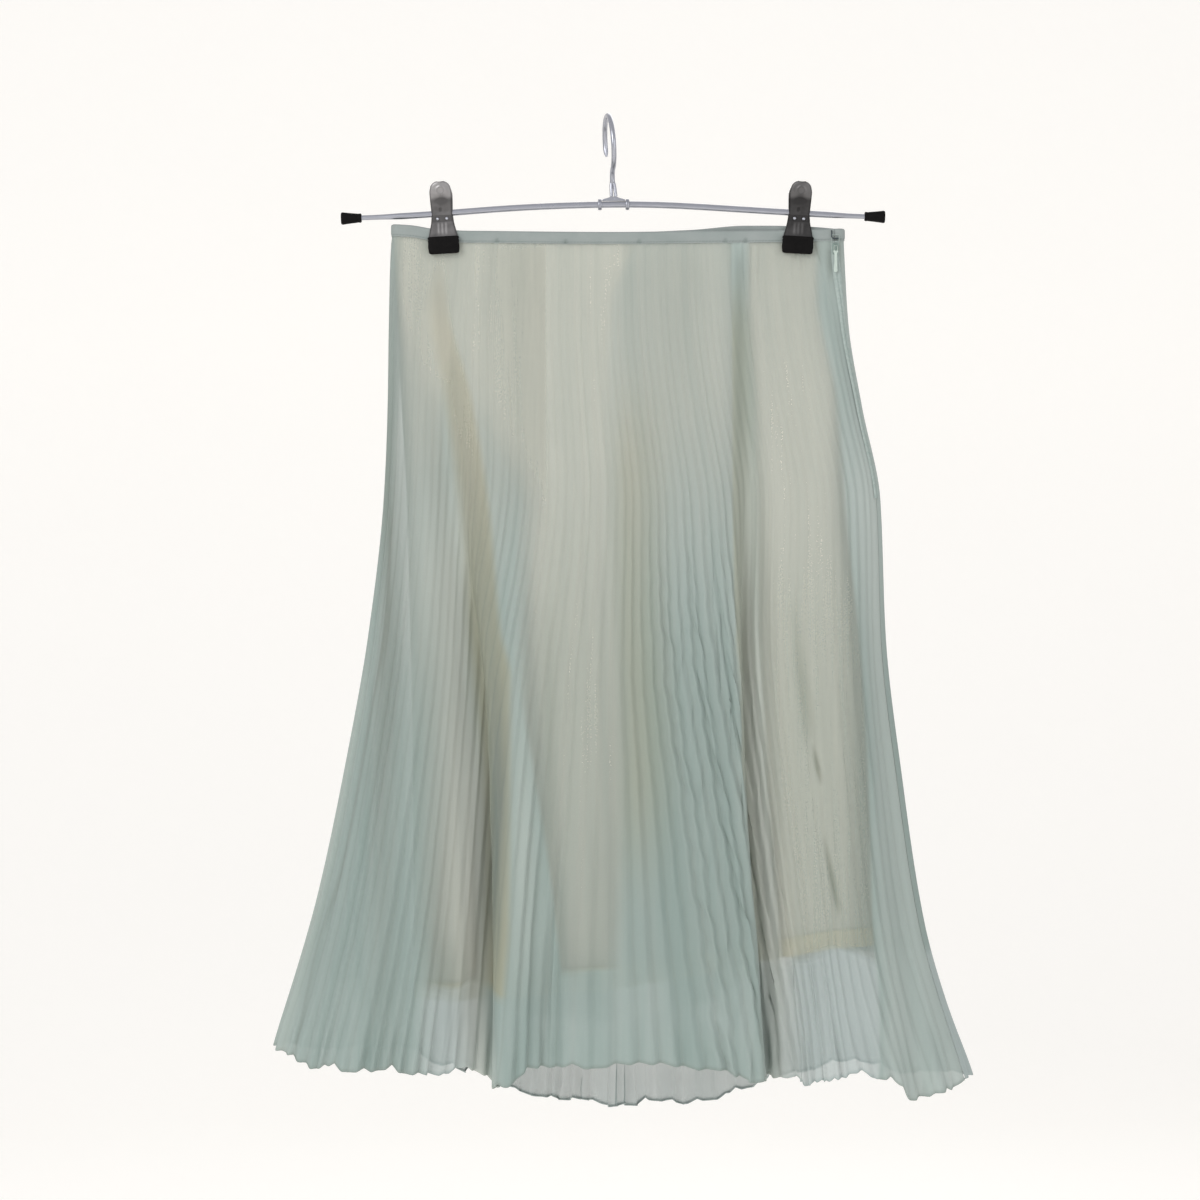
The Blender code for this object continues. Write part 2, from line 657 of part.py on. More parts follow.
def slider_and_pull():
    """The slider is a channel; the pull hangs between its ears and swings up and out."""
    x, face = zip_place()
    z = height_at("outer", x - HANG_X, face, SLIDER_TOP) + SLIDER_TOP
    back = face - SEAM_GAP
    floor = back - SLIDER_BASE
    ear = floor - EAR_HEIGHT
    outline = [
        (-SLIDER_HALF, back),
        (SLIDER_HALF, back),
        (SLIDER_HALF, ear),
        (SLIDER_HALF - EAR, ear),
        (SLIDER_HALF - EAR, floor),
        (EAR - SLIDER_HALF, floor),
        (EAR - SLIDER_HALF, ear),
        (-SLIDER_HALF, ear),
    ]
    slider = prism("zip_slider", outline, z - SLIDER_FOOT, z - SLIDER_TOP, "zip")
    slider.location = (x * MM, 0.0, 0.0)
    half = SLIDER_HALF - EAR - SEAM_GAP
    pull = block("zip_pull", (2 * half, PULL_WALL, PULL_LENGTH), 0.5, "zip")
    pivot = Vector((x, floor - PIVOT_OUT, z - PIVOT_BELOW))
    pull.data.transform(Matrix.Translation(Vector((0.0, 0.0, PULL_ABOVE - PULL_LENGTH / 2)) * MM))
    pull.location = pivot * MM


def waist_hook():
    """The small wire hook that closes the waistband over the zip."""
    x, _ = zip_place()
    loop, lengths, _ = whole_loop("band", 0.0)
    (_, y), _ = along(loop, lengths, seam_places("band", 0.0)[1])
    wire = 0.5
    out = y - BAND_WALL / 2 - 2 * SEAM_GAP - wire
    top = WAIST_TOP + read_table(WAIST_LINE, x - HANG_X, 1)
    shape = ((-3.0, -1.5), (-3.0, -7.0), (-1.5, -8.0), (2.5, -8.0))
    tube("waist_hook", [(x + dx, out, top + dz) for dx, dz in shape], wire, "plate", resolution=1)


def main():
    for old in list(bpy.data.objects):
        bpy.data.objects.remove(old, do_unlink=True)
    bpy.context.scene.collection.children.link(bpy.data.collections.new("pleated_skirt"))
    for side in ("front", "back"):
        panel(f"outer_{side}", "outer", side, OUTER, 2 * PLEATS, True, "chiffon")
        panel(f"lining_{side}", "lining", side, LINING, LINING_COLUMNS, False, "slip")
    waistband()
    zip_tape()
    slider_and_pull()
    waist_hook()
    hanger_bar()
    end_caps()
    hook()
    yoke()
    clips()


main()
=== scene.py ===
"""A sheer accordion-pleated skirt over a satin slip, clipped by its waist to a wire hanger."""

import math

import bpy
import numpy as np
from mathutils import Matrix, Vector


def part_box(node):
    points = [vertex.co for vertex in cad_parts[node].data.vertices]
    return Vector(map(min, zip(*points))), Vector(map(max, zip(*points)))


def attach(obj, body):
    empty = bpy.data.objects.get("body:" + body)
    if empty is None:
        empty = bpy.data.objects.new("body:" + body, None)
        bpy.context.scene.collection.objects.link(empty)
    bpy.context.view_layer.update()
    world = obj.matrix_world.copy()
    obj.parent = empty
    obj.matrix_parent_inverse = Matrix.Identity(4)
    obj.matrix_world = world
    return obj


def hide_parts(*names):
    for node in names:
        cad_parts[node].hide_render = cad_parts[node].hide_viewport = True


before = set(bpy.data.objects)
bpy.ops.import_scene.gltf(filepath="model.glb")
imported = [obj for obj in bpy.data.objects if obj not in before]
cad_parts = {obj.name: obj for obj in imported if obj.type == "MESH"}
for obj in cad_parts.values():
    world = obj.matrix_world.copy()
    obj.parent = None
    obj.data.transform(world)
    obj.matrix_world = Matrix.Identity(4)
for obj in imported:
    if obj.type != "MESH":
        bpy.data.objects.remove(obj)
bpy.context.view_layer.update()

# Camera
# Level with the middle of the skirt and square to its front, with a long lens from 2.6 m away.
MM = 0.001
CAMERA_PLACE = (-0.0058, -2.6, -0.3804)
CAMERA_LENS = 98.73

eye = bpy.data.objects.new("camera", bpy.data.cameras.new("camera"))
eye.data.lens = CAMERA_LENS
eye.location = CAMERA_PLACE
eye.rotation_euler = (math.pi / 2, 0.0, 0.0)
bpy.context.scene.collection.objects.link(eye)
bpy.context.scene.camera = eye
bpy.context.scene.view_settings.view_transform = "Standard"

# Studio
# A pale floor that sweeps up into a wall well behind the skirt, a large soft lamp at the front left,
# a weaker one at the right and even light from all round.
FLOOR_HEIGHT = -1.25
SWEEP_REACH, SWEEP_RADIUS, SWEEP_TOP, SWEEP_WIDTH = 4.2, 1.4, 3.5, 14.0
PAPER = (0.90, 0.885, 0.855)
PAPER_GLOW = 0.165
LAMPS = (
    # name, place, size in metres, watts
    ("key", (-1.7, -2.3, 0.7), 1.6, 38.0),
    ("fill", (2.0, -2.2, -0.1), 1.8, 14.0),
    ("back", (0.6, 2.0, 0.9), 1.4, 9.0),
)
SKY = (0.985, 0.985, 1.0)
SKY_STRENGTH = 0.74


class Value:
    """A value in a material's nodes. Sums on it add Math nodes, and node() adds any other kind."""

    def __init__(self, tree, socket=None):
        self.tree, self.socket = tree, socket

    def put(self, socket, value):
        if isinstance(value, Value):
            self.tree.links.new(value.socket, socket)
        else:
            socket.default_value = value

    def node(self, kind, settings=(), sockets=(), output=0):
        made = self.tree.nodes.new("ShaderNode" + kind)
        for name, setting in dict(settings).items():
            setattr(made, name, setting)
        for name, value in dict(sockets).items():
            self.put(made.inputs[name], value)
        return Value(self.tree, made.outputs[output])

    def sum(self, operation, other):
        return self.node("Math", {"operation": operation}, {0: self, 1: other})

    def __add__(self, other):
        return self.sum("ADD", other)

    def __sub__(self, other):
        return self.sum("SUBTRACT", other)

    def __mul__(self, other):
        return self.sum("MULTIPLY", other)

    def clamped(self):
        return self.node("Clamp", (), {0: self, 1: 0.0, 2: 1.0})

    def mixed(self, first, second):
        """Two colours, by this much of the second."""
        sockets = {0: self}
        for place, colour in ((6, first), (7, second)):
            sockets[place] = colour if isinstance(colour, Value) else (*colour, 1.0)
        return self.node("Mix", {"data_type": "RGBA"}, sockets, 2)


def new_finish(name, **constants):
    """A material, its shader's sockets with the fixed values set, and the place on the piece as a Value."""
    material = bpy.data.materials.new(name)
    material.use_nodes = True
    shader = material.node_tree.nodes["Principled BSDF"]
    for socket, value in constants.items():
        shader.inputs[socket.replace("_", " ")].default_value = value
    return material, shader.inputs, Value(material.node_tree).node("TexCoord", output=3)


def noise(place, scale, detail):
    return place.node("TexNoise", (), {"Vector": place, "Scale": scale, "Detail": detail})


def paper():
    material, shader, place = new_finish("studio_paper", Roughness=0.9, Emission_Strength=PAPER_GLOW)
    grain = noise(place, 3, 2)
    place.put(shader["Base Color"], grain.mixed(PAPER, [c * 1.01 for c in PAPER]))
    shader["Emission Color"].default_value = (1.0, 0.985, 0.955, 1.0)
    return material


def studio():
    profile = [(-6.0, FLOOR_HEIGHT)]
    for step in range(25):
        turn = math.pi / 2 * step / 24
        y = SWEEP_REACH - SWEEP_RADIUS + SWEEP_RADIUS * math.sin(turn)
        profile.append((y, FLOOR_HEIGHT + SWEEP_RADIUS * (1 - math.cos(turn))))
    profile.append((SWEEP_REACH, SWEEP_TOP))
    points = [(side * SWEEP_WIDTH / 2, y, z) for y, z in profile for side in (-1, 1)]
    faces = [(2 * i, 2 * i + 1, 2 * i + 3, 2 * i + 2) for i in range(len(profile) - 1)]
    mesh = bpy.data.meshes.new("studio_floor")
    mesh.from_pydata(points, [], faces)
    mesh.polygons.foreach_set("use_smooth", [True] * len(mesh.polygons))
    mesh.materials.append(paper())
    floor = bpy.data.objects.new("studio_floor", mesh)
    bpy.context.scene.collection.objects.link(floor)
    for name, place, size, watts in LAMPS:
        lamp = bpy.data.lights.new(name, "AREA")
        lamp.size, lamp.energy = size, watts
        holder = bpy.data.objects.new(name, lamp)
        holder.location = place
        aim = Vector((0.0, 0.0, -0.4)) - Vector(place)
        holder.rotation_euler = aim.to_track_quat("-Z", "Y").to_euler()
        bpy.context.scene.collection.objects.link(holder)
    sky = bpy.data.worlds.new("sky")
    sky.use_nodes = True
    sky.node_tree.nodes["Background"].inputs["Color"].default_value = (*SKY, 1.0)
    sky.node_tree.nodes["Background"].inputs["Strength"].default_value = SKY_STRENGTH
    bpy.context.scene.world = sky


studio()

# Slip
# A plain flared slip in cream satin, a front and a back, sewn into the waistband. It hangs in soft
# folds behind the outer skirt's flutes and has a turned, stitched hem. Named sizes are in millimetres.
WAIST_TOP = -88.4
HANG_X = 5.0  # skirt and bar hang this far to the right of the hook's crown
SEAM_GAP = 0.38
SEAM_BACK = 0.027  # the zip seam sits this share of the front's arc before the right-hand fold
LENGTH = 665.0
SLIP_LENGTH = 585.0
SLIP_SPREAD = 1.7  # the slip keeps clear of the outer flutes as if they were this much wider
LOOP_STEPS = 420
CLIP_PLACES = (-134.0, 145.0)
# How far a clip presses the cloth in, and how far from its middle that starts and stops fading
SQUEEZE, SQUEEZE_FLAT, SQUEEZE_REACH = 1.85, 14.5, 38.0
HELD_TO, FREE_AT = 21.0, 75.0  # distances below the waist between which the clips' hold fades
TUCKED = 4.0  # the panels' tops run up into the waistband to this far below its edge


def table(*rows):
    return np.array(rows, float)


# Distance below the waist, outline's left and right, half depths in front and behind, length over which
# the sides turn, height of a pleat and thickness of the cloth's solid.
SLIP_FORM = table(
    (10, -173.9, 180.4, 2.85, 2.85, 3.25, 0, 1), (21, -173.9, 180.9, 2.85, 2.85, 3.25, 0, 1),
    (75, -171, 180, 8, 7.5, 9, 0, 1), (140, -168, 184, 14, 13, 18, 0, 1), (212, -164, 188, 20, 18, 30, 0, 1),
    (320, -161, 196, 27, 25, 44, 0, 1), (430, -159, 203, 32, 30, 54, 0, 1),
    (585, -158, 210, 37, 35, 66, 0, 1),
)
CHIFFON_FORM = table(
    (10, -176, 182.5, 4.65, 4.65, 5, 0.3, 1.05), (21, -177, 183, 4.65, 4.65, 5, 0.34, 1.05),
    (75, -179, 186.5, 12, 11, 14, 0.8, 1.1), (140, -180.4, 197.5, 19, 17, 26, 1.1, 1.15),
    (212, -183.8, 212, 27, 25, 42, 1.4, 1.2), (320, -195.6, 216.5, 38, 35, 62, 1.7, 1.3),
    (430, -213.8, 229.5, 48, 44, 84, 2, 1.4), (545, -236.8, 247.5, 56, 52, 104, 2.2, 1.5),
    (665, -270.8, 284, 63, 59, 122, 2.4, 1.6),
)
# Cloth, side, x at the top, half way and hem, where it starts, share of the depth, widths, lean
FLUTES = (
    ("outer", "front", -150, -122, -120, 40, 0.7, 10, 18, 0.65),
    ("outer", "front", 110, 116, 144, 20, 0.68, 9, 17, -0.6),
    ("outer", "front", -170, -190, -250, 180, 0.22, 7, 11, 0),
    ("outer", "front", -60, -56, -54, 330, 0.18, 9, 12, 0),
    ("outer", "front", 190, 206, 240, 150, 0.22, 7, 11, 0),
    ("outer", "back", -95, -105, -135, 60, 0.55, 12, 24, 0),
    ("outer", "back", 5, 0, -12, 110, 0.58, 12, 24, 0),
    ("outer", "back", 95, 105, 138, 50, 0.55, 12, 24, 0),
    ("lining", "front", -100, -80, -74, 90, 0.55, 12, 18, 0),
    ("lining", "front", 55, 55, 57, 60, 0.6, 26, 38, 0),
    ("lining", "back", -60, -62, -66, 90, 0.45, 20, 30, 0),
    ("lining", "back", 70, 78, 86, 90, 0.45, 20, 30, 0),
)
# Across from 0 at the left to 1 at the right: how far the outer front and back and the slip's front and
# back hang past their nominal hems
HEM_DROPS = table(
    (0, -24, -24, 20, 22), (0.08, -10, -12, 20, 24), (0.2, -11, -12, 17, 23), (0.25, -5, -2, 14, 22),
    (0.27, -10, 2, 13, 21), (0.33, 6, 16, 10, 19), (0.37, -11, 26, 8, 18), (0.54, -14, 31, 2, 12),
    (0.63, -12, 31, -3, 4), (0.67, -2, 23, -5, 1), (0.72, -2, 8, -8, -4), (0.78, 1, 2, -13, -8),
    (0.83, -7, -2, -17, -11), (0.88, 3, 3, -20, -14), (0.91, 12, 4, -21, -15), (1, 1, 2, -22, -20),
)
# x from HANG_X, and how far the waist stands over its nominal top in front and behind
WAIST_RISE = table(
    (-176, 4.6, 4.6), (-160, 3.8, 3.8), (-140, 0.8, 0.8), (-110, -0.6, -0.6), (0, -1.6, -1.2), (60, -1, 0.8),
    (105, -0.6, 4.2), (150, 0.4, 3.4), (182, 1.2, 1.2),
)
HEM_COLUMN = {("outer", "front"): 1, ("outer", "back"): 2, ("lining", "front"): 3, ("lining", "back"): 4}
FORMS = {"lining": SLIP_FORM, "outer": CHIFFON_FORM}
SATIN = (0.745, 0.702, 0.592)
SATIN_HEM = (0.80, 0.71, 0.49)
SLIP_COLUMNS, SLIP_ROWS = 220, 74
SLIP_HEM = 15.0  # height of the turned hem
# Small dents in the slip's front, darkened with painted shade: x and distance below at their two ends, depth
# and half width
SLIP_DENTS = (
    (160.5, 417, 166.5, 447, 2.8, 1.9), (170.5, 499, 181.5, 558, 3.4, 2.1), (146, 300, 158, 415, 1.4, 5),
    (128, 480, 120, 560, 1.2, 4), (-46, 300, -44, 520, 1, 5), (-160, 420, -150, 540, 1.2, 4),
)


def smooth(low, high, at):
    """0 below low, 1 above high, and an even curve between."""
    share = np.clip((at - low) / (high - low), 0.0, 1.0)
    return share * share * (3 - 2 * share)


def swell(at, middle, width):
    """A rounded swell, 1 at its middle."""
    return np.exp(-(((at - middle) / width) ** 2))


def read(rows, at, column):
    """A column of a table at a first-column value, on an even curve through the rows."""
    places, values = rows[:, 0], rows[:, column]
    steps = np.diff(values) / np.diff(places)
    both = np.where(steps[1:] * steps[:-1] > 0, 2 * steps[1:] * steps[:-1], 0.0)
    slopes = np.concatenate((steps[:1], both / np.where(both == 0, 1.0, steps[1:] + steps[:-1]), steps[-1:]))
    at = np.clip(at, places[0], places[-1])
    row = np.clip(np.searchsorted(places, at) - 1, 0, len(places) - 2)
    width = places[row + 1] - places[row]
    t = (at - places[row]) / width
    lift = (1 + 2 * t) * (1 - t) ** 2 * values[row] + t * t * (3 - 2 * t) * values[row + 1]
    return lift + width * (t * (1 - t) ** 2 * slopes[row] + t * t * (t - 1) * slopes[row + 1])


def flute_line(flute, below):
    """A flute's x at a distance down, on one curve through its three places."""
    top, middle, hem = flute[2:5]
    share = below / LENGTH
    upper = top * (1 - share) * (1 - 2 * share) + 4 * middle * share * (1 - share)
    return upper + hem * share * (2 * share - 1)


def flute_width(flute, below):
    return flute[7] + (flute[8] - flute[7]) * below / LENGTH


def grown(flute, below):
    """How much of a flute there is at a distance down."""
    return smooth(flute[5], flute[5] + 330.0, below)


def half_depth(cloth, side, x, below, spread=1.0):
    """Distance from the skirt's middle plane to the cloth at x, in front or behind."""
    sizes = (read(FORMS[cloth], below, column) for column in range(1, 8))
    left, right, front, back, rounding, pleat, thick = sizes
    inset = thick / 2 + pleat
    turn = 1 - np.clip((np.minimum(x - left, right - x) - inset) / rounding, 0.0, 1.0)
    depth = (front if side == "front" else back) * np.sqrt(np.clip(1 - turn * turn, 0.0, 1.0))
    held = SQUEEZE * (1 - smooth(HELD_TO, FREE_AT, below))
    nearness = [1 - smooth(SQUEEZE_FLAT, SQUEEZE_REACH, abs(x - clip)) for clip in CLIP_PLACES]
    depth = depth - held * np.max(nearness, 0)
    for flute in FLUTES:
        if flute[:2] == (cloth, side):
            line = flute_line(flute, below)
            if spread > 1:
                line += flute[9] * grown(flute, below) * flute[6] * read(CHIFFON_FORM, below, 3)
            reach = (x - line) / (spread * flute_width(flute, below))
            depth = depth * (1 - flute[6] * grown(flute, below) * np.exp(-reach * reach))
    if cloth == "lining" and below > FREE_AT:
        clear = 4.0 + 5.0 * smooth(FREE_AT, 400.0, below)
        limit = half_depth("outer", side, x, below, SLIP_SPREAD) - clear
        depth = (depth + limit - np.hypot(depth - limit, np.minimum(3.0, depth / 2))) / 2
    return depth


def leaned(x, y, below):
    """Moves points sideways with their depth, so that the middle flute laps over its neighbours."""
    front = read(CHIFFON_FORM, below, 3)
    shift = 0.0
    for flute in FLUTES:
        if flute[9]:
            reach = (x - flute_line(flute, below)) / (2.2 * flute_width(flute, below))
            lean = flute[9] * grown(flute, below) * np.exp(-reach * reach)
            shift = shift + lean * np.minimum(front + np.minimum(y, 0.0), flute[6] * front)
    return x + shift * (1 - smooth(0.0, 12.0, y))


class Loop:
    """The line of a cloth at one height: from the left side along the front and home along the back."""

    def __init__(self, cloth, below):
        left, right, pleat, thick = (read(FORMS[cloth], below, column) for column in (1, 2, 6, 7))
        left, right = left + thick / 2 + pleat, right - thick / 2 - pleat
        x = (left + right) / 2 - (right - left) / 2 * np.cos(np.linspace(0, math.pi, LOOP_STEPS + 1))
        halves = []
        for side, way in (("front", -1), ("back", 1)):
            y = way * half_depth(cloth, side, x, below)
            halves.append(np.stack((leaned(x, y, below) if cloth == "outer" else x, y), 1))
        self.line = np.concatenate((halves[0], halves[1][::-1][1:]))
        self.lengths = np.concatenate(([0.0], np.cumsum(np.hypot(*np.diff(self.line, axis=0).T))))
        self.whole = self.lengths[-1]
        self.seam = self.lengths[LOOP_STEPS] * (1 - SEAM_BACK)

    def ends(self, side):
        """The distances at which a panel starts and ends."""
        return (0.0, self.seam) if side == "front" else (self.seam, self.whole)

    def at(self, distance):
        distance = distance % self.whole
        return np.stack([np.interp(distance, self.lengths, self.line[:, k]) for k in (0, 1)], 1)

    def out(self, distance, reach=0.8):
        """Unit vectors out of the cloth."""
        run = self.at(distance + reach) - self.at(distance - reach)
        run /= np.maximum(np.hypot(run[:, 0], run[:, 1]), 1e-9)[:, None]
        return np.stack((run[:, 1], -run[:, 0]), 1)


def share_across(cloth, place, below):
    """How far points lie from the left edge of the cloth, 0, to its right edge, 1."""
    left, right = read(FORMS[cloth], below, 1), read(FORMS[cloth], below, 2)
    return np.clip((place[:, 0] - left) / (right - left), 0.0, 1.0)


def height_at(cloth, side, place, below):
    """z of points of cloth, with the waist's rise at the top and the hem's drop at the foot."""
    rise = read(WAIST_RISE, place[:, 0], 1 if side == "front" else 2) * (1 - smooth(20.0, 200.0, below))
    drop = read(HEM_DROPS, share_across(cloth, place, below), HEM_COLUMN[cloth, side])
    hem = SLIP_LENGTH if cloth == "lining" else LENGTH
    return WAIST_TOP + rise - below - drop * smooth(200.0, hem, below)


def lifted(place, out, lift, z):
    """A row of points raised off the cloth by so much."""
    return np.stack((place[:, 0] + HANG_X + out[:, 0] * lift, place[:, 1] + out[:, 1] * lift, z), 1)


def grid_mesh(name, rows, material, around=False, **painted):
    """A smooth sheet through rows of points in millimetres, with named values painted on it."""
    points = np.array(rows, float)
    down, along = points.shape[:2]
    mesh = bpy.data.meshes.new(name)
    a, b = np.meshgrid(np.arange(down - 1), np.arange(along if around else along - 1), indexing="ij")
    after = (b + 1) % along
    faces = np.stack((a * along + b, (a + 1) * along + b, (a + 1) * along + after, a * along + after), -1)
    mesh.from_pydata((points.reshape(-1, 3) * MM).tolist(), [], faces.reshape(-1, 4).tolist())
    mesh.polygons.foreach_set("use_smooth", [True] * len(mesh.polygons))
    for key, values in painted.items():
        layer = mesh.attributes.new(key, "FLOAT", "POINT")
        layer.data.foreach_set("value", np.asarray(values, np.float32).ravel())
    mesh.materials.append(material)
    return mesh


def piece(name, data, body="skirt", slot=None, replaces=None):
    """A finished piece that rides on a body, and stands for a node if one is given."""
    made = bpy.data.objects.new(name, data)
    bpy.context.scene.collection.objects.link(made)
    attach(made, body)
    if replaces:
        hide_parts(replaces)
    return made


def painted_on(place, key):
    """A value painted on the mesh under this name."""
    return place.node("Attribute", {"attribute_name": key}, (), 2)


def raise_surface(shader, height, strength, distance):
    """Bumps the surface by a value, up to a distance in metres."""
    sockets = {"Strength": strength, "Distance": distance, "Height": height}
    height.put(shader["Normal"], height.node("Bump", (), sockets))


def satin():
    material, shader, place = new_finish(
        "cream_satin", Roughness=0.55, Sheen_Weight=0.12, Sheen_Roughness=0.35, Specular_IOR_Level=0.35
    )
    drawn = place.node("VectorMath", {"operation": "MULTIPLY"}, {0: place, 1: (150.0, 60.0, 2.5)})
    streak = noise(drawn, 1, 2)
    cloud = noise(place, 16, 2)
    base = (cloud * 0.5 + streak * 0.5).mixed([c * 0.90 for c in SATIN], [c * 1.10 for c in SATIN])
    base = (painted_on(place, "hem") * 0.75).mixed(base, SATIN_HEM)
    # Painted shade in the dents, and a thin darker line at the top of the turned hem
    base = painted_on(place, "dent").clamped().mixed(base, (0.20, 0.17, 0.07))
    place.put(shader["Base Color"], base)
    place.put(shader["Roughness"], streak * 0.15 + 0.48)
    weave = noise(place, 1600, 1)
    raise_surface(shader, streak + weave * 0.08, 0.12, 0.0008)
    return material


def dents(x, below):
    """How deep each point lies in the slip's small dents, and how much painted shade it gets there."""
    depth, dent_shade = np.zeros_like(x), np.zeros_like(x)
    for x0, b0, x1, b1, deep, wide in SLIP_DENTS:
        run = np.array((x1 - x0, b1 - b0))
        share = ((x - x0) * run[0] + (below - b0) * run[1]) / (run @ run)
        inside = np.clip(share, 0.0, 1.0)
        away = np.hypot(x - x0 - inside * run[0], below - b0 - inside * run[1])
        here = swell(away, 0.0, wide) * (0.25 + 0.75 * np.sin(math.pi * inside**1.4) ** 0.8)
        depth = depth + deep * here
        dent_shade = np.maximum(dent_shade, here * min(1.0, deep / 3.0))
    return depth, dent_shade


def slip_panel(side, material):
    rows, hem, dent = [], [], []
    steps = np.concatenate(
        (
            np.linspace(TUCKED + 1, SLIP_LENGTH - SLIP_HEM - 2, SLIP_ROWS),
            SLIP_LENGTH - SLIP_HEM + np.array((0.0, 1.0, 2.0, 7.0, 12.0, 14.2, 15.0)),
        )
    )
    rng = np.random.default_rng(11 if side == "front" else 12)
    ripples = [(rng.uniform(9, 34), rng.uniform(0, 6.3), rng.uniform(0.5, 1.0)) for _ in range(9)]
    for below in steps:
        loop = Loop("lining", below)
        start, end = loop.ends(side)
        share = np.linspace(0, 1, SLIP_COLUMNS + 1)
        distance = start + SEAM_GAP / 2 + (end - start - SEAM_GAP) * share
        place, out = loop.at(distance), loop.out(distance, 1.5)
        free = smooth(60.0, 300.0, below) * np.sin(math.pi * share) ** 0.5
        soft = sum(tall * np.sin(2 * math.pi * share * turns + start_at) for turns, start_at, tall in ripples)
        tight = smooth(14.0, 30.0, below) * (1 - smooth(60.0, 140.0, below))
        lift = soft * (0.34 * free + 0.10 * tight * np.sin(math.pi * share))
        deep, dent_shade = dents(place[:, 0] + HANG_X, below) if side == "front" else (0.0, np.zeros_like(share))
        band = smooth(SLIP_LENGTH - SLIP_HEM, SLIP_LENGTH - SLIP_HEM + 1.0, below)
        lift = lift - deep + 0.35 * band
        z = height_at("lining", side, place, below)
        rows.append(lifted(place, out, lift, z))
        hem.append(np.full(len(share), band))
        # The painted shade of the dents, and a thin darker line along the top of the turned hem
        dent.append(np.maximum(dent_shade, 0.3 * np.exp(-((below - SLIP_LENGTH + SLIP_HEM) ** 2) / 1.5)))
    mesh = grid_mesh(f"slip_{side}", rows, material, hem=hem, dent=dent)
    return piece(f"slip_{side}", mesh, slot="slip", replaces=f"lining_{side}")


satin_finish = satin()
slip_front = slip_panel("front", satin_finish)
slip_back = slip_panel("back", satin_finish)

# Pleated skirt
# Two panels of sheer sage chiffon, heat-set in 64 fine accordion pleats each, gathered flat into the
# waistband and opening towards a narrow rolled hem. Where the pleats lie open over the slip it shows
# through them, and where they close up they turn a deeper green.
PLEATS = 64
PLEAT_STEPS = 8
SLANT = 4.5  # pleats by which the ones left of the right-hand fold drift towards it on the way down
CHIFFON_ROWS = 150
CHIFFON_PALE = (0.415, 0.465, 0.440)
CHIFFON_SAGE = (0.236, 0.301, 0.279)
CHIFFON_OLIVE = (0.330, 0.325, 0.225)
# The next two colours are those of painted shade and painted light
CHIFFON_PAINTED_SHADE = (0.165, 0.195, 0.170)
CHIFFON_LIT = (0.600, 0.625, 0.575)
CHIFFON_MIST = (0.350, 0.405, 0.395)
# Distance below the waist, then x of the edges of the three lobes where the slip shows through the front,
# of the close pleats at the middle lobe's left, and where those at its right start
SHOW = table(
    (8, -168, -124, -150, 30, 111, 166, -138, -128, 100),
    (55, -167, -126, -146, 10, 111, 166, -139, -127, 98),
    (134, -163, -127, -118, 6, 115, 180, -126, -107, 98), (227, -162, -119, -66, 6, 117, 187, -114, -92, 98),
    (316, -158, -114, -66, 8, 119, 196, -110, -84, 100), (355, -152, -110, -66, 10, 121, 199, -106, -76, 103),
    (426, -146, -104, -57, 12, 124, 203, -100, -76, 106), (537, -142, -102, -42, 9, 132, 206, -98, -76, 115),
    (590, -138, -101, -36, 5, 136, 210, -98, -80, 118),
)
# Distance below the waist, and how softly each of the lobes' six edges fades there
SHOW_SOFT = table(
    (8, 7, 8, 30, 14, 4, 5), (134, 9, 9, 34, 11, 6, 4), (227, 10, 9, 20, 14, 6, 3), (316, 14, 8, 9, 14, 4, 2),
    (426, 16, 5, 3, 10, 3, 2), (590, 12, 3, 2.5, 10, 3, 2),
)
# Distance below the waist, and how strongly the slip shows through each lobe there
SHOW_STRENGTH = table(
    (0, 0.76, 1, 0.93), (60, 0.79, 1, 0.96), (150, 0.7, 0.97, 1), (235, 0.45, 0.95, 1),
    (420, 0.5, 0.88, 0.97), (520, 0.72, 0.85, 0.95), (590, 0.85, 0.85, 0.95),
)
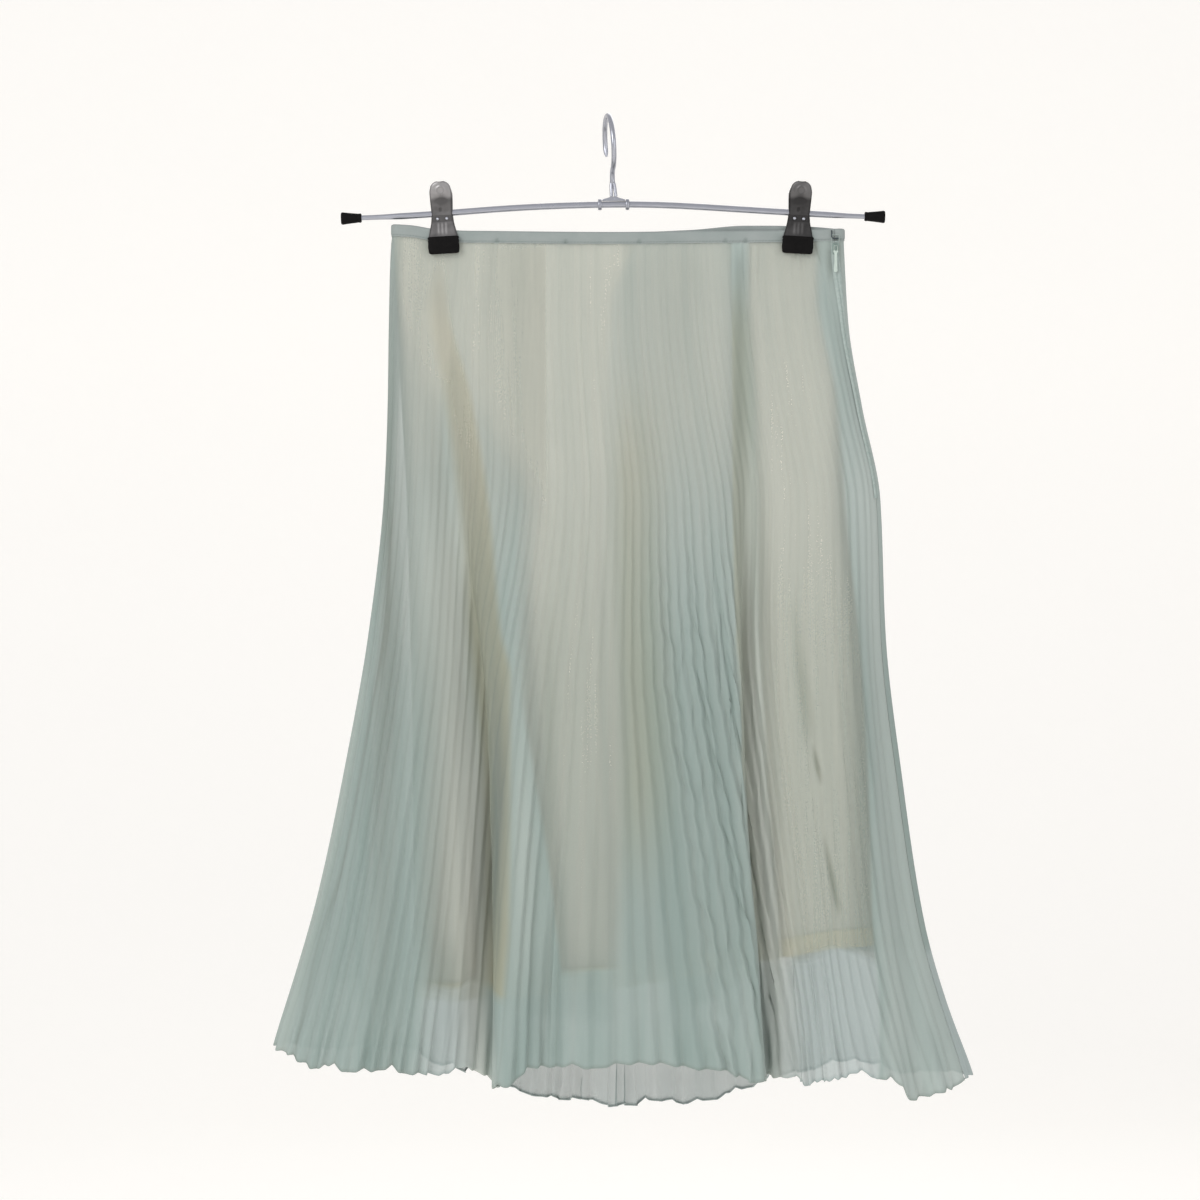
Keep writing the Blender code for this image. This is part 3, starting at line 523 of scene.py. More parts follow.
# Broad streaks on the front, of painted shade with one darker seam line, and of painted light. Distance below
# the waist, x, softness to its left and right, and amount
SHADE_AND_SEAM_STREAKS = [
    # Down the left side
    table(
        (8, -171, 6, 8, 0.22), (90, -171, 6, 10, 0.45), (215, -172, 7, 15, 0.7), (300, -172, 8, 18, 0.72),
        (370, -174, 10, 18, 0.66), (450, -176, 12, 16, 0.5), (530, -175, 12, 14, 0.34),
        (650, -174, 10, 12, 0.16),
    ),
    # The seam line that runs out to the left from the middle down
    table(
        (200, -170, 1.3, 1.8, 0), (292, -172, 1.3, 1.8, 0.45), (391, -186, 1.4, 1.8, 0.45),
        (509, -207, 1.4, 1.8, 0.4), (588, -229, 1.3, 1.7, 0.36), (655, -243, 1.3, 1.7, 0.3),
    ),
    # The close pleats at the middle lobe's left
    table(
        (20, -133, 4, 4, 0), (60, -132, 5, 6, 0.6), (134, -118, 6, 9, 0.45), (227, -105, 9, 10, 0.4),
        (316, -94, 8, 11, 0.48), (371, -88, 8, 10, 0.66), (450, -85, 7, 8, 1), (529, -87, 7, 7, 0.72),
        (590, -88, 7, 7, 0),
    ),
    # The upper part of the left side, and of the right
    table(
        (8, -150, 22, 16, 0.14), (70, -147, 22, 16, 0.22), (160, -141, 20, 14, 0.14), (240, -138, 20, 14, 0),
    ),
    table((8, 142, 30, 26, 0.08), (120, 142, 30, 26, 0.1), (250, 142, 30, 26, 0)),
    # Right of the pale panel
    table((8, 60, 50, 28, 0.08), (35, 60, 50, 28, 0.18), (110, 45, 42, 46, 0.16), (240, 40, 40, 50, 0)),
    # The top of the deep fold
    table(
        (12, 104, 3, 4, 0), (30, 104, 4, 5, 0.36), (130, 103, 4, 5, 0.36), (230, 103, 4, 5, 0.2),
        (310, 103, 4, 5, 0),
    ),
    # Beside the zip: the folded edge, and a crease between it and the clip
    table(
        (14, 175.4, 2.2, 1.8, 0), (20, 175.4, 2.2, 1.8, 0.34), (34, 175.8, 2.4, 1.8, 0.34),
        (44, 176.4, 2.4, 1.8, 0),
    ),
    table(
        (9, 163.2, 0.8, 0.8, 0), (13, 164.2, 0.8, 0.8, 0.5), (23, 167.2, 0.8, 0.8, 0.45),
        (28, 168.6, 0.8, 0.8, 0),
    ),
    # Left of the pale panel below the waist
    table((8, -50, 48, 1.4, 0), (18, -50, 48, 1.4, 0.46), (150, -50, 40, 2, 0.4), (260, -50, 30, 6, 0)),
]
# Painted light on fold flanks that turn from the lamps, in the deep fold and down the sides
PAINTED_LIGHT_STREAKS = [
    # The left lobe's flank, which turns away into the fold
    table(
        (190, -118, 24, 7, 0), (290, -116, 28, 7, 0.5), (360, -112, 28, 8, 0.5), (450, -104, 28, 8, 0.7),
        (540, -103, 24, 8, 0.78), (590, -102, 13, 9, 0.75), (655, -100, 13, 11, 0.75),
    ),
    # The middle lobe's left flank
    table(
        (300, -62, 9, 14, 0), (400, -66, 9, 14, 0.16), (480, -65, 10, 15, 0.26), (560, -64, 12, 16, 0.2),
        (625, -64, 12, 16, 0),
    ),
    # The deep fold at the middle lobe's right
    table(
        (150, 108, 6, 10, 0), (284, 112, 9, 11, 0.45), (371, 115, 9, 12, 0.75), (450, 119, 10, 13, 0.75),
        (529, 126, 10, 14, 0.75), (650, 134, 10, 14, 0.4),
    ),
    # The right side
    table(
        (120, 195, 12, 20, 0), (280, 207, 12, 30, 0.12), (400, 213, 12, 40, 0.14), (530, 219, 14, 40, 0.12),
        (650, 228, 14, 40, 0.06),
    ),
    # The strip outside the left seam line
    table((300, -182, 4, 5, 0), (391, -197, 6, 6, 0.22), (509, -220, 8, 7, 0.26), (655, -255, 9, 7, 0.2)),
]
BACK_MIRROR = 14.0  # the back's zones are the front's, mirrored at half this x
GATHERS = ((-129.4, 0.55, 24.0), (149.5, 1.25, 34.0))  # creases below each clip: x, height and reach


def band_of(low, high, soft_low, soft_high, x):
    return smooth(low - soft_low, low + soft_low, x) * (1 - smooth(high - soft_high, high + soft_high, x))


def zones(x, below, side):
    """At each x, how much the slip shows and how far the point is in each of the pleats' zones."""
    if side == "back":
        x = BACK_MIRROR - x
    edge = [read(SHOW, below, column) for column in range(1, 10)]
    soft = [read(SHOW_SOFT, below, column) for column in range(1, 7)]
    lobes = [band_of(*edge[k : k + 2], *soft[k : k + 2], x) for k in (0, 2, 4)]
    cream = sum(lobe * read(SHOW_STRENGTH, below, column + 1) for column, lobe in enumerate(lobes))
    haze = 0.70 * (1 - smooth(110.0, 330.0, below)) * band_of(-128.0, 98.0, 8.0, 1.5, x)
    cream = np.maximum(cream, haze)
    near_left = band_of(edge[6], edge[7], 7.0, 4.0, x) * smooth(20.0, 90.0, below)
    calm = band_of(edge[6] - 34.0, edge[7] + 5.0, 14.0, 5.0, x) * smooth(150.0, 300.0, below)
    near_right = smooth(edge[8] - 1.2, edge[8] + 1.2, x) * (1 - smooth(edge[8] + 4.0, edge[4] + 8.0, x))
    near_right = near_right * smooth(20.0, 90.0, below)
    ribs = band_of(edge[3], edge[3] + 30.0, 12.0, 24.0, x) * smooth(90.0, 200.0, below)
    ribs = ribs * (1 - smooth(430.0, 560.0, below))
    waving = band_of(edge[3] + 20.0, edge[8] + 6.0, 14.0, 8.0, x) * smooth(190.0, 330.0, below)
    free = smooth(edge[5] - 2.0, edge[5] + 12.0, x)
    cream, outer_lobes = np.clip(cream, 0, 1), np.clip(lobes[0] + lobes[2], 0, 1)
    return cream, outer_lobes, near_left, near_right, ribs, waving, free, calm


def streaks(tables, x, below):
    total = np.zeros_like(x)
    for rows in tables:
        line, left, right, amount = (read(rows, below, column) for column in range(1, 5))
        total += amount * swell(x, line, np.where(x < line, left, right))
    return total


def gathers(x, below):
    """Small creases that fan out of the waist where the clips pinch it."""
    lift = np.zeros_like(x)
    for place, tall, reach in GATHERS:
        away = np.hypot(x - place, below - 8.0)
        fan = np.arctan2(x - place, max(below - 2.0, 1.0))
        crease = np.sin(13.0 * fan + 0.6 * np.sin(5.0 * fan)) + 0.5 * np.sin(29.0 * fan)
        lift += tall * smooth(3.0, 14.0, away) * np.exp(-away / reach) * crease
    bunch = swell(x, 113.0, 8.0) * (1 - smooth(15.0, 95.0, below))
    lift += 1.1 * bunch * np.sin(2 * math.pi * x / 6.5 + below / 26.0)
    return np.where(lift < 0, 0.4 * lift, lift) * smooth(9.0, 16.0, below)


def chiffon():
    material, shader, place = new_finish(
        "sage_chiffon", Roughness=0.8, Sheen_Weight=0.08, Sheen_Roughness=0.5, Specular_IOR_Level=0.25
    )
    drawn = place.node("VectorMath", {"operation": "MULTIPLY"}, {0: place, 1: (330.0, 120.0, 5.0)})
    streak = noise(drawn, 1, 2)
    crepe = noise(place, 1300, 2)
    base = (painted_on(place, "tone") + (streak - 0.5) * 0.3).clamped().mixed(CHIFFON_PALE, CHIFFON_SAGE)
    base = painted_on(place, "olive").mixed(base, CHIFFON_OLIVE)
    # Painted shade and painted light, from the values painted on the panels
    base = painted_on(place, "shade").mixed(base, CHIFFON_PAINTED_SHADE)
    base = painted_on(place, "mist").mixed(base, CHIFFON_MIST)
    base = painted_on(place, "lit").mixed(base, CHIFFON_LIT)
    place.put(shader["Base Color"], base)
    veil = painted_on(place, "veil") + (streak - 0.5) * 0.10 + (crepe - 0.5) * 0.06
    place.put(shader["Alpha"], veil.clamped())
    raise_surface(shader, streak + crepe * 0.3, 0.3, 0.0004)
    return material


def chiffon_panel(side, material):
    rng = np.random.default_rng(5 if side == "front" else 6)
    columns = PLEATS * PLEAT_STEPS
    pleat = np.linspace(0, PLEATS, columns + 1)
    knots = np.arange(PLEATS + 2)
    firm, tint, slide, sway, edge_drop = (
        np.interp(pleat, knots, spread)
        for spread in (
            rng.uniform(0.65, 1.25, PLEATS + 2),
            rng.uniform(-1.0, 1.0, PLEATS + 2),
            rng.uniform(-0.18, 0.18, PLEATS + 2),
            rng.uniform(0, 6.3, PLEATS + 2),
            rng.normal(0, 1.0, PLEATS + 2),
        )
    )
    # Each pleat has a wide side and a narrow one
    ridge = np.interp(pleat % 1.0, (0.0, 0.06, 0.58, 0.68, 0.94, 1.0), (-1.0, -0.92, 0.92, 0.95, -0.92, -1.0))
    at_seams = smooth(0, 1.6, pleat) * smooth(0, 1.6, PLEATS - pleat)
    body_rows = TUCKED + (LENGTH - 14 - TUCKED) * np.linspace(0, 1, CHIFFON_ROWS) ** 1.05
    foot_rows = LENGTH + np.array((-11.0, -8.0, -5.5, -3.5, -2.0, -1.0, 0.0))
    rows = []
    painted = {key: [] for key in ("tone", "olive", "shade", "lit", "mist", "veil")}
    for below in np.concatenate((body_rows, foot_rows)):
        loop = Loop("outer", below)
        start, end = loop.ends(side)
        start, end = start + SEAM_GAP / 2, end - SEAM_GAP / 2
        straight = loop.at(start + (end - start) * pleat / PLEATS)[:, 0] + HANG_X
        waving = zones(straight, below, side)[5]
        # Each pleat is a little wider or narrower than the next, and some wander on the way down
        down = 2 * math.pi * below
        wander = 0.7 * np.sin(down / 55.0 + sway) + 0.6 * np.sin(down / 117.0 + 2 * sway)
        wander += 0.6 * np.sin(down / 24.0 + 3 * sway)
        moved = pleat + (slide + wander * (0.02 + 0.085 * waving)) * at_seams
        if side == "front":
            slanting = smooth(-60, 60, straight) * (1 - smooth(85, 200, straight))
            moved += SLANT * smooth(230, 640, below) * slanting
        distance = start + (end - start) * moved / PLEATS
        place, out = loop.at(distance), loop.out(distance)
        x = place[:, 0] + HANG_X
        cream, lobes, near_left, near_right, ribs, waving, free, calm = zones(x, below, side)
        across = share_across("outer", place, below)
        slip_hem = SLIP_LENGTH + read(HEM_DROPS, across, HEM_COLUMN["lining", side])
        past_slip = smooth(-3.0, 3.0, below - slip_hem)
        foot = smooth(LENGTH - 45, LENGTH, below)
        tall = read(CHIFFON_FORM, below, 6) * firm * (0.56 + 0.24 * waving + 0.1 * ribs)
        tall = tall * (1 - 0.5 * cream * (1 - past_slip)) * (1 - 0.65 * calm) * (1 - 0.6 * near_right)
        tall = tall * (1 - 0.5 * free) * (1 - 0.3 * lobes)
        rolls = 0.9 * np.sin(2 * math.pi * pleat / 7.3 + 1.0) + 0.6 * np.sin(2 * math.pi * pleat / 4.1 + 2.2)
        flutter = 1.8 * np.sin(0.9 * pleat + sway) * smooth(LENGTH - 60, LENGTH, below)
        lift = (tall * ridge * (1 + 0.5 * foot) + rolls * smooth(150, 480, below) + flutter) * at_seams
        if side == "front":
            lift = lift + gathers(x, below)
        z = height_at("outer", side, place, below) - foot**3 * (2.2 * edge_drop + 0.8 * ridge) * at_seams
        rows.append(lifted(place, out, lift, z))
        edge = smooth(LENGTH - 2.6, LENGTH - 1.0, below)
        seen = cream * (1 - past_slip)
        veil = 0.91 - 0.43 * seen - 0.05 * free - 0.10 * near_left * (1 - past_slip)
        veil = veil - 0.05 * ribs + 0.03 * tint
        clear_of_sides = smooth(0.0, 0.14, across) * (1 - smooth(0.86, 1.0, across))
        veil = veil - past_slip * (0.12 * lobes if side == "front" else 0.23 * clear_of_sides)
        veil = veil + 0.06 * smooth(LENGTH - 40, LENGTH - 15, below) * (1 - lobes)
        painted["veil"].append(np.clip(veil + (0.96 - veil) * edge, 0.05, 1.0))
        tone = 0.38 + 0.50 * smooth(180, 400, below) - 0.08 * smooth(570, 650, below)
        tone = tone - 0.30 * free * smooth(90, 230, below)
        tone = tone - 0.15 * seen + 0.14 * tint - 0.30 * past_slip * lobes
        tone = tone + 0.25 * free * (1 - smooth(90, 230, below))
        painted["tone"].append(np.clip(tone, 0.0, 1.0))
        olive = 0.75 * near_left + 0.55 * near_right + 0.45 * ribs
        olive = olive + (0.04 + 0.04 * smooth(150, 350, below)) * seen
        painted["olive"].append(np.clip(olive * (1 - past_slip), 0, 1))
        # Painted shade in the pleats' valleys and down the deep fold at the right, a darker rolled hem, and
        # the streaks of painted shade and painted light on the front
        valley = np.clip(-ridge, 0, 1) ** 3
        shade = 0.20 * valley * (1 - 0.7 * cream) * smooth(60, 250, below) + 0.30 * edge + 0.16 * near_right
        lit, mist = np.zeros_like(x), 0.9 * past_slip * (lobes if side == "front" else 1.0)
        if side == "front":
            shade = shade + streaks(SHADE_AND_SEAM_STREAKS, x, below)
            lit = streaks(PAINTED_LIGHT_STREAKS, x, below)
        painted["shade"].append(np.clip(shade, 0, 1))
        painted["lit"].append(np.clip(lit, 0, 1))
        painted["mist"].append(np.clip(mist, 0, 1))
    # The rolled hem: the edge turned back on itself in a tiny curl
    last, before = np.array(rows[-1]), np.array(rows[-4])
    down = last - before
    down /= np.linalg.norm(down, axis=1)[:, None]
    inward = -np.concatenate((out, np.zeros((len(out), 1))), 1)
    for turn in np.radians((60, 120, 190)):
        rows.append(last + 0.7 * (down * math.sin(turn) + inward * (1 - math.cos(turn))))
        for key in painted:
            painted[key].append(painted[key][-1])
    mesh = grid_mesh(f"chiffon_{side}", rows, material, **painted)
    return piece(f"chiffon_{side}", mesh, slot="chiffon", replaces=f"outer_{side}")


chiffon_finish = chiffon()
chiffon_front = chiffon_panel("front", chiffon_finish)
chiffon_back = chiffon_panel("back", chiffon_finish)

# Waistband
# One narrow strip of the same cloth folded over the tops of both layers, edge-stitched along its foot
# and drawn in by small tucks. Its ends meet over the side zip.
BAND_HEIGHT = 9.6
BAND_PROUD, BAND_DEEP = 0.85, -2.25  # its two faces, out from the outer cloth's middle
BAND_COLUMNS = 640
BAND_GREEN = (0.222, 0.260, 0.248)
BAND_LIGHT = (0.302, 0.326, 0.318)
TUCKS = (-92.0, -38.0, 20.0, 88.0, 104.0, 176.0)


def band_cloth():
    material, shader, place = new_finish(
        "waistband_cloth", Roughness=0.7, Sheen_Weight=0.08, Sheen_Roughness=0.5, Specular_IOR_Level=0.3
    )
    cloud = noise(place, 70, 3)
    crepe = noise(place, 1500, 2)
    base = cloud.mixed(BAND_GREEN, BAND_LIGHT)
    # Darker along the stitching, and painted shade in the tucks
    base = (painted_on(place, "stitch") * 0.6).clamped().mixed(base, (0.12, 0.15, 0.14))
    place.put(shader["Base Color"], base)
    raise_surface(shader, crepe + cloud * 0.8, 0.35, 0.0004)
    return material


def waistband(material):
    rng = np.random.default_rng(21)
    loop = Loop("outer", 10.0)
    share = np.linspace(0, 1, BAND_COLUMNS + 1)
    distance = loop.seam + SEAM_GAP / 2 + (loop.whole - SEAM_GAP) * share
    place, out = loop.at(distance), loop.out(distance)
    front = place[:, 1] < 0
    heights = [height_at("outer", side, place, 0.0) for side in ("front", "back")]
    top = np.where(front, *heights)
    pucker = np.zeros_like(share)
    for x in TUCKS:
        pucker += swell(place[:, 0], x, 1.6)
    wobble = np.interp(share * 90, np.arange(92), rng.normal(0, 0.22, 92))
    stitches = 0.5 + 0.5 * np.sin(distance * 2 * math.pi / 2.6)
    # Out from the cloth, distance below the top edge, and height over the band's foot
    profile = [(BAND_PROUD - 0.35, BAND_HEIGHT - rise, rise) for rise in (0.0, 0.5)]
    profile += [(BAND_PROUD, BAND_HEIGHT - rise, rise) for rise in (1.3, 2.0, 2.7, 4.5, 6.5, 8.0)]
    middle, half = (BAND_PROUD + BAND_DEEP) / 2, (BAND_PROUD - BAND_DEEP) / 2
    for turn in np.radians((20, 50, 90, 130, 160)):
        profile.append((middle + half * math.cos(turn), 1.6 - 1.6 * math.sin(turn), 9.0))
    profile += [(BAND_DEEP, below, 9.0) for below in (3.0, 6.0, BAND_HEIGHT)]
    rows, stitch = [], []
    for offset, below, rise in profile:
        line = math.exp(-((rise - 1.3) / 0.4) ** 2) if offset > 0 else 0.0
        sink = line * (0.22 + 0.18 * stitches) + (0.5 * pucker if offset > 0 and rise < 3 else 0.0)
        lift = offset - sink + wobble * (0.6 if offset > 0 else 0.2)
        z = top - below - 0.3 * pucker * (rise < 2)
        rows.append(lifted(place, out, lift, z))
        # Darker thread along the stitched line, and painted shade in the tucks' puckers
        stitch.append(line * (0.35 + 0.65 * stitches) + 0.8 * pucker * (rise < 3) * (offset > 0))
    mesh = grid_mesh("waistband_strip", rows, material, stitch=stitch)
    return piece("waistband_strip", mesh, slot="band", replaces="waistband")


band_finish = band_cloth()
band = waistband(band_finish)

# Zip
# An invisible zip in the wearer's left side seam: two folded lips that meet over the coil, a small
# enamelled slider and its pull. A wire hook and a thread loop close the band above it.
ZIP_HEAD, ZIP_FOOT, ZIP_HALF = 10.0, 212.0, 3.15
ENAMEL_PALE, ENAMEL_GREEN = (0.44, 0.51, 0.46), (0.20, 0.26, 0.235)


def zip_cloth():
    material, shader, place = new_finish("zip_lips", Roughness=0.75, Specular_IOR_Level=0.25)
    grain = noise(place, 500, 2)
    base = grain.mixed(CHIFFON_SAGE, CHIFFON_PALE)
    # Painted shade in the groove where the two lips meet
    place.put(shader["Base Color"], painted_on(place, "groove").mixed(base, (0.13, 0.17, 0.15)))
    raise_surface(shader, grain, 0.3, 0.0004)
    return material


def zip_lips(material):
    rows, groove = [], []
    across = np.linspace(-ZIP_HALF, ZIP_HALF, 19)
    for below in np.linspace(ZIP_HEAD, ZIP_FOOT, 60):
        loop = Loop("outer", below)
        distance = loop.seam + across
        place, out = loop.at(distance), loop.out(distance)
        z = height_at("outer", "front", place, below)
        dip = swell(across, 0.0, 0.45)
        lip = np.clip(1 - (np.abs(across) / ZIP_HALF) ** 4, 0, 1)
        stitch = 0.12 * math.sin(below * 2 * math.pi / 3.0) * swell(np.abs(across), 2.2, 0.4)
        lift = 0.5 + 0.9 * lip * smooth(0.0, 1.0, lip) - 0.45 * dip + stitch + 0.2 * math.sin(below / 17.0)
        rows.append(lifted(place, out, lift, z))
        # Painted shade along the groove between the lips
        groove.append(dip * 0.3)
    mesh = grid_mesh("zip_lips", rows, material, groove=groove)
    return piece("zip_lips", mesh, slot="zip", replaces="zip_tape")


def enamel(name, colour):
    material, shader, place = new_finish(name, Roughness=0.35, Specular_IOR_Level=0.5)
    mottle = noise(place, 260, 3)
    place.put(shader["Base Color"], mottle.mixed([c * 0.92 for c in colour], [c * 1.12 for c in colour]))
    place.put(shader["Roughness"], mottle * 0.25 + 0.25)
    raise_surface(shader, mottle, 0.15, 0.0002)
    return material


def dress(node, material):
    """Gives a carried-over solid its finish."""
    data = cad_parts[node].data
    data.materials.clear()
    data.materials.append(material)


def wire(name, strands, radius, material, **rides):
    """Round wire through points in millimetres, each with an optional share of the radius."""
    curve = bpy.data.curves.new(name, "CURVE")
    curve.dimensions = "3D"
    curve.bevel_depth = radius * MM
    curve.bevel_resolution = 6
    curve.use_fill_caps = True
    for points in strands:
        spline = curve.splines.new("POLY")
        spline.points.add(len(points) - 1)
        spline.use_smooth = True
        for point, place in zip(spline.points, points):
            point.co = (*(c * MM for c in place[:3]), 1.0)
            point.radius = place[3] if len(place) > 3 else 1.0
    curve.materials.append(material)
    return piece(name, curve, **rides)


def squared_off(wave, power):
    """Bends a sine wave towards a square one, which turns an oval into a rounded rectangle."""
    return np.sign(wave) * np.abs(wave) ** power


def rounded_bar(name, levels, matrix, material, **rides):
    """A closed bar along Z from rows of (height, half width, half thickness)."""
    turn = np.linspace(0, 2 * math.pi, 40, endpoint=False)
    wide, deep = squared_off(np.cos(turn), 0.5), squared_off(np.sin(turn), 0.5)
    rows = [np.stack((half * wide, thick * deep, np.full_like(turn, z)), 1) for z, half, thick in levels]
    mesh = grid_mesh(name, rows, material, around=True)
    mesh.transform(matrix)
    return piece(name, mesh, **rides)


def placed(x, y, z, *turns):
    """A place in millimetres with turns in radians about named axes."""
    matrix = Matrix.Translation(Vector((x, y, z)) * MM)
    for angle, axis in turns:
        matrix = matrix @ Matrix.Rotation(angle, 4, axis)
    return matrix


def slider(material):
    """A shield-shaped slider body with an arched bridge that the pull's loop hangs from."""
    low, high = np.array(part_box("zip_slider")) / MM
    middle, back, top = (low[0] + high[0]) / 2, high[1], high[2]
    tall = top - low[2]
    levels = [(0.0, 0.1, 0.05), (0.0, 2.2, 0.4), (-0.3, 2.8, 0.6), (-1.6, 3.0, 0.65), (-5.0, 2.7, 0.65)]
    levels += [(0.5 - tall, 1.9, 0.6), (0.1 - tall, 1.6, 0.4), (-tall, 0.1, 0.05)]
    here = placed(middle, back - 0.65, top)
    rounded_bar("slider_body", levels, here, material, slot="zip", replaces="zip_slider")
    arch = [(0.0, 0.7), (1.5, 0.9), (2.3, 1.8), (2.45, 3.2), (2.3, 4.8), (1.4, 6.2), (0.0, 6.6)]
    points = [(middle, back - 1.1 - out, top - down) for out, down in arch]
    wire("slider_bridge", [points], 0.45, material, slot="zip")


def pull(material):
    """A slim stamped pull on a wire loop, which swings from the slider's bridge."""
    low, high = np.array(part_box("zip_pull")) / MM
    x, y, z = (low[0] + high[0]) / 2, (low[1] + high[1]) / 2, high[2] - 0.6
    levels = [(-3.7, 0.1, 0.05), (-3.7, 1.6, 0.3), (-3.9, 1.9, 0.42), (-5.0, 1.9, 0.42), (-5.5, 1.3, 0.42)]
    levels += [(-6.5, 1.1, 0.42), (-12.0, 1.05, 0.42), (-17.0, 1.3, 0.42), (-19.6, 1.45, 0.42)]
    levels += [(-20.5, 1.2, 0.4), (-20.9, 0.7, 0.3), (-20.9, 0.1, 0.05)]
    here = placed(x, y, z)
    rides = {"body": "pull_tab", "slot": "zip"}
    rounded_bar("pull_strip", levels, here, material, replaces="zip_pull", **rides)
    loop = [(-1.2, -4.3), (-1.35, -2.0), (-1.2, -0.3), (-0.8, 0.0)]
    loop += [(-dx, dz) for dx, dz in loop[::-1]]
    wire("pull_loop", [[(x + dx, y, z + dz) for dx, dz in loop]], 0.3, material, **rides)


zip_finish = zip_cloth()
zip_strip = zip_lips(zip_finish)
slider(enamel("green_enamel", ENAMEL_GREEN))
pull(enamel("pale_enamel", ENAMEL_PALE))
# The thread loop that the waistband's wire hook catches
hook_low, hook_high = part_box("waist_hook")
loop_y = (hook_low[1] + hook_high[1]) / 2 / MM - 0.1
corners = ((176.9, -92.6), (182.4, -92.4), (182.7, -93.0), (182.6, -98.2), (182.0, -98.7), (177.2, -98.5))
corners += ((176.7, -98.0), (176.9, -92.6))
wire("thread_loop", [[(x, loop_y, z) for x, z in corners]], 0.28, zip_finish, slot="band")

# Hanger
# Plated steel wire: a hook whose long stem is doubled at its foot, a small welded saddle with a collar at
# either side, and a round bar that bows a little, with flared black vinyl caps pushed on its ends.
BAR_RADIUS = 2.5
BAR_ENDS = (-211.0, 210.0)
BAR_MIDDLE, BAR_SAG, BAR_WAVE, BAR_TILT = -68.0, 10.6, 235.0, 0.003
HOOK_WIRE, HOOK_RADIUS = 2.0, 22.0
HOOK_JOIN, HOOK_TIP, HOOK_YAW = (math.radians(turn) for turn in (20, 290, 8))
STEM_FOOT, STEM_PARTS = -61.5, -50.0  # the stem is one wire above the second height and two below it
SADDLE_HALF, COLLAR_HALF = 9.0, 1.5  # half lengths along the bar
CAP_BORE = 12.0


def plated(name, colour, rough, wear):
    material, shader, place = new_finish(name, Metallic=1.0)
    smear = noise(place, 110, 4)
    pits = noise(place, 900, 2)
    # Random smeared wear, and painted shade where a piece paints it, darken the steel and roughen it
    darkening = (smear * wear + painted_on(place, "grime") * 0.8).clamped()
    place.put(shader["Base Color"], darkening.mixed(colour, [c * 0.35 for c in colour]))
    place.put(shader["Roughness"], (smear * 0.22 + painted_on(place, "grime") * 0.3 + rough).clamped())
    raise_surface(shader, pits + smear, 0.12, 0.0002)
    return material


def vinyl():
    material, shader, place = new_finish("black_vinyl", Specular_IOR_Level=0.04)
    grain = noise(place, 420, 3)
    place.put(shader["Base Color"], grain.mixed((0.004, 0.004, 0.004), (0.010, 0.009, 0.009)))
    place.put(shader["Roughness"], grain * 0.3 + 0.38)
    raise_surface(shader, grain, 0.3, 0.0003)
    return material


wire_finish = plated("bright_wire", (0.45, 0.46, 0.51), 0.20, 0.40)
vinyl_finish = vinyl()


def bar_height(x):
    """z of the bar's middle: a long wave that droops to both sides, tipped a little."""
    return BAR_MIDDLE - BAR_SAG * (1 - math.cos(math.pi * x / BAR_WAVE)) / 2 + BAR_TILT * x


def hanger_bar():
    points = []
    for x in np.linspace(*BAR_ENDS, 81):
        thin = 1 - 0.22 * float(smooth(165.0, 190.0, abs(x)))
        points.append((x + HANG_X, 0.0, bar_height(x) + 0.12 * math.sin(x / 19.0), thin))
    return wire("bar_wire", [points], BAR_RADIUS, wire_finish, slot="wire", replaces="hanger_bar")


def hook_wire():
    centre = HOOK_WIRE - HOOK_RADIUS
    bend = HOOK_RADIUS * math.sin(HOOK_JOIN) / (1 - math.sin(HOOK_JOIN))
    bend_foot = centre - (HOOK_RADIUS + bend) * math.cos(HOOK_JOIN)
    path = [(0.0, float(z)) for z in np.linspace(STEM_PARTS, bend_foot, 3)]
    for turn in np.linspace(math.pi, math.pi / 2 + HOOK_JOIN, 13)[1:]:
        path.append((bend + bend * math.cos(turn), bend_foot + bend * math.sin(turn)))
    for turn in np.linspace(HOOK_JOIN, HOOK_TIP, 61)[1:]:
        path.append((HOOK_RADIUS * math.sin(turn), centre - HOOK_RADIUS * math.cos(turn)))
    whole = []
    for forward, z in path:
        lean = HANG_X * z / STEM_FOOT
        whole.append((lean + forward * math.sin(HOOK_YAW), -forward * math.cos(HOOK_YAW), z))
    for shrink, back in ((0.9, 3), (0.7, 2), (0.35, 1)):
        whole[-back] = (*whole[-back][:3], shrink)
    # The doubled foot of the stem: heights, and how far from its middle each thin wire stands there
    apart = ((STEM_PARTS + 4.0, 0.3), (STEM_PARTS, 0.7), (-52.5, 1.25), (-56.0, 1.5), (STEM_FOOT, 1.75))
    legs = [[(HANG_X * z / STEM_FOOT + way * half, 0.0, z, 0.68) for z, half in apart] for way in (-1, 1)]
    return wire("hook_wire", [whole, *legs], HOOK_WIRE, wire_finish, slot="wire", replaces="hook")


def turned(name, profile, matrix, material, steps=40, grime=(), **rides):
    """A piece turned about its own Z from an outline of (radius, height), then set in place."""
    turn = np.linspace(0, 2 * math.pi, steps, endpoint=False)
    rows = [np.stack((r * np.cos(turn), r * np.sin(turn), np.full(steps, h)), 1) for r, h in profile]
    dark = [np.full(steps, grime[i] if i < len(grime) else 0.0) for i in range(len(profile))]
    mesh = grid_mesh(name, rows, material, around=True, grime=dark)
    mesh.transform(matrix)
    return piece(name, mesh, **rides)


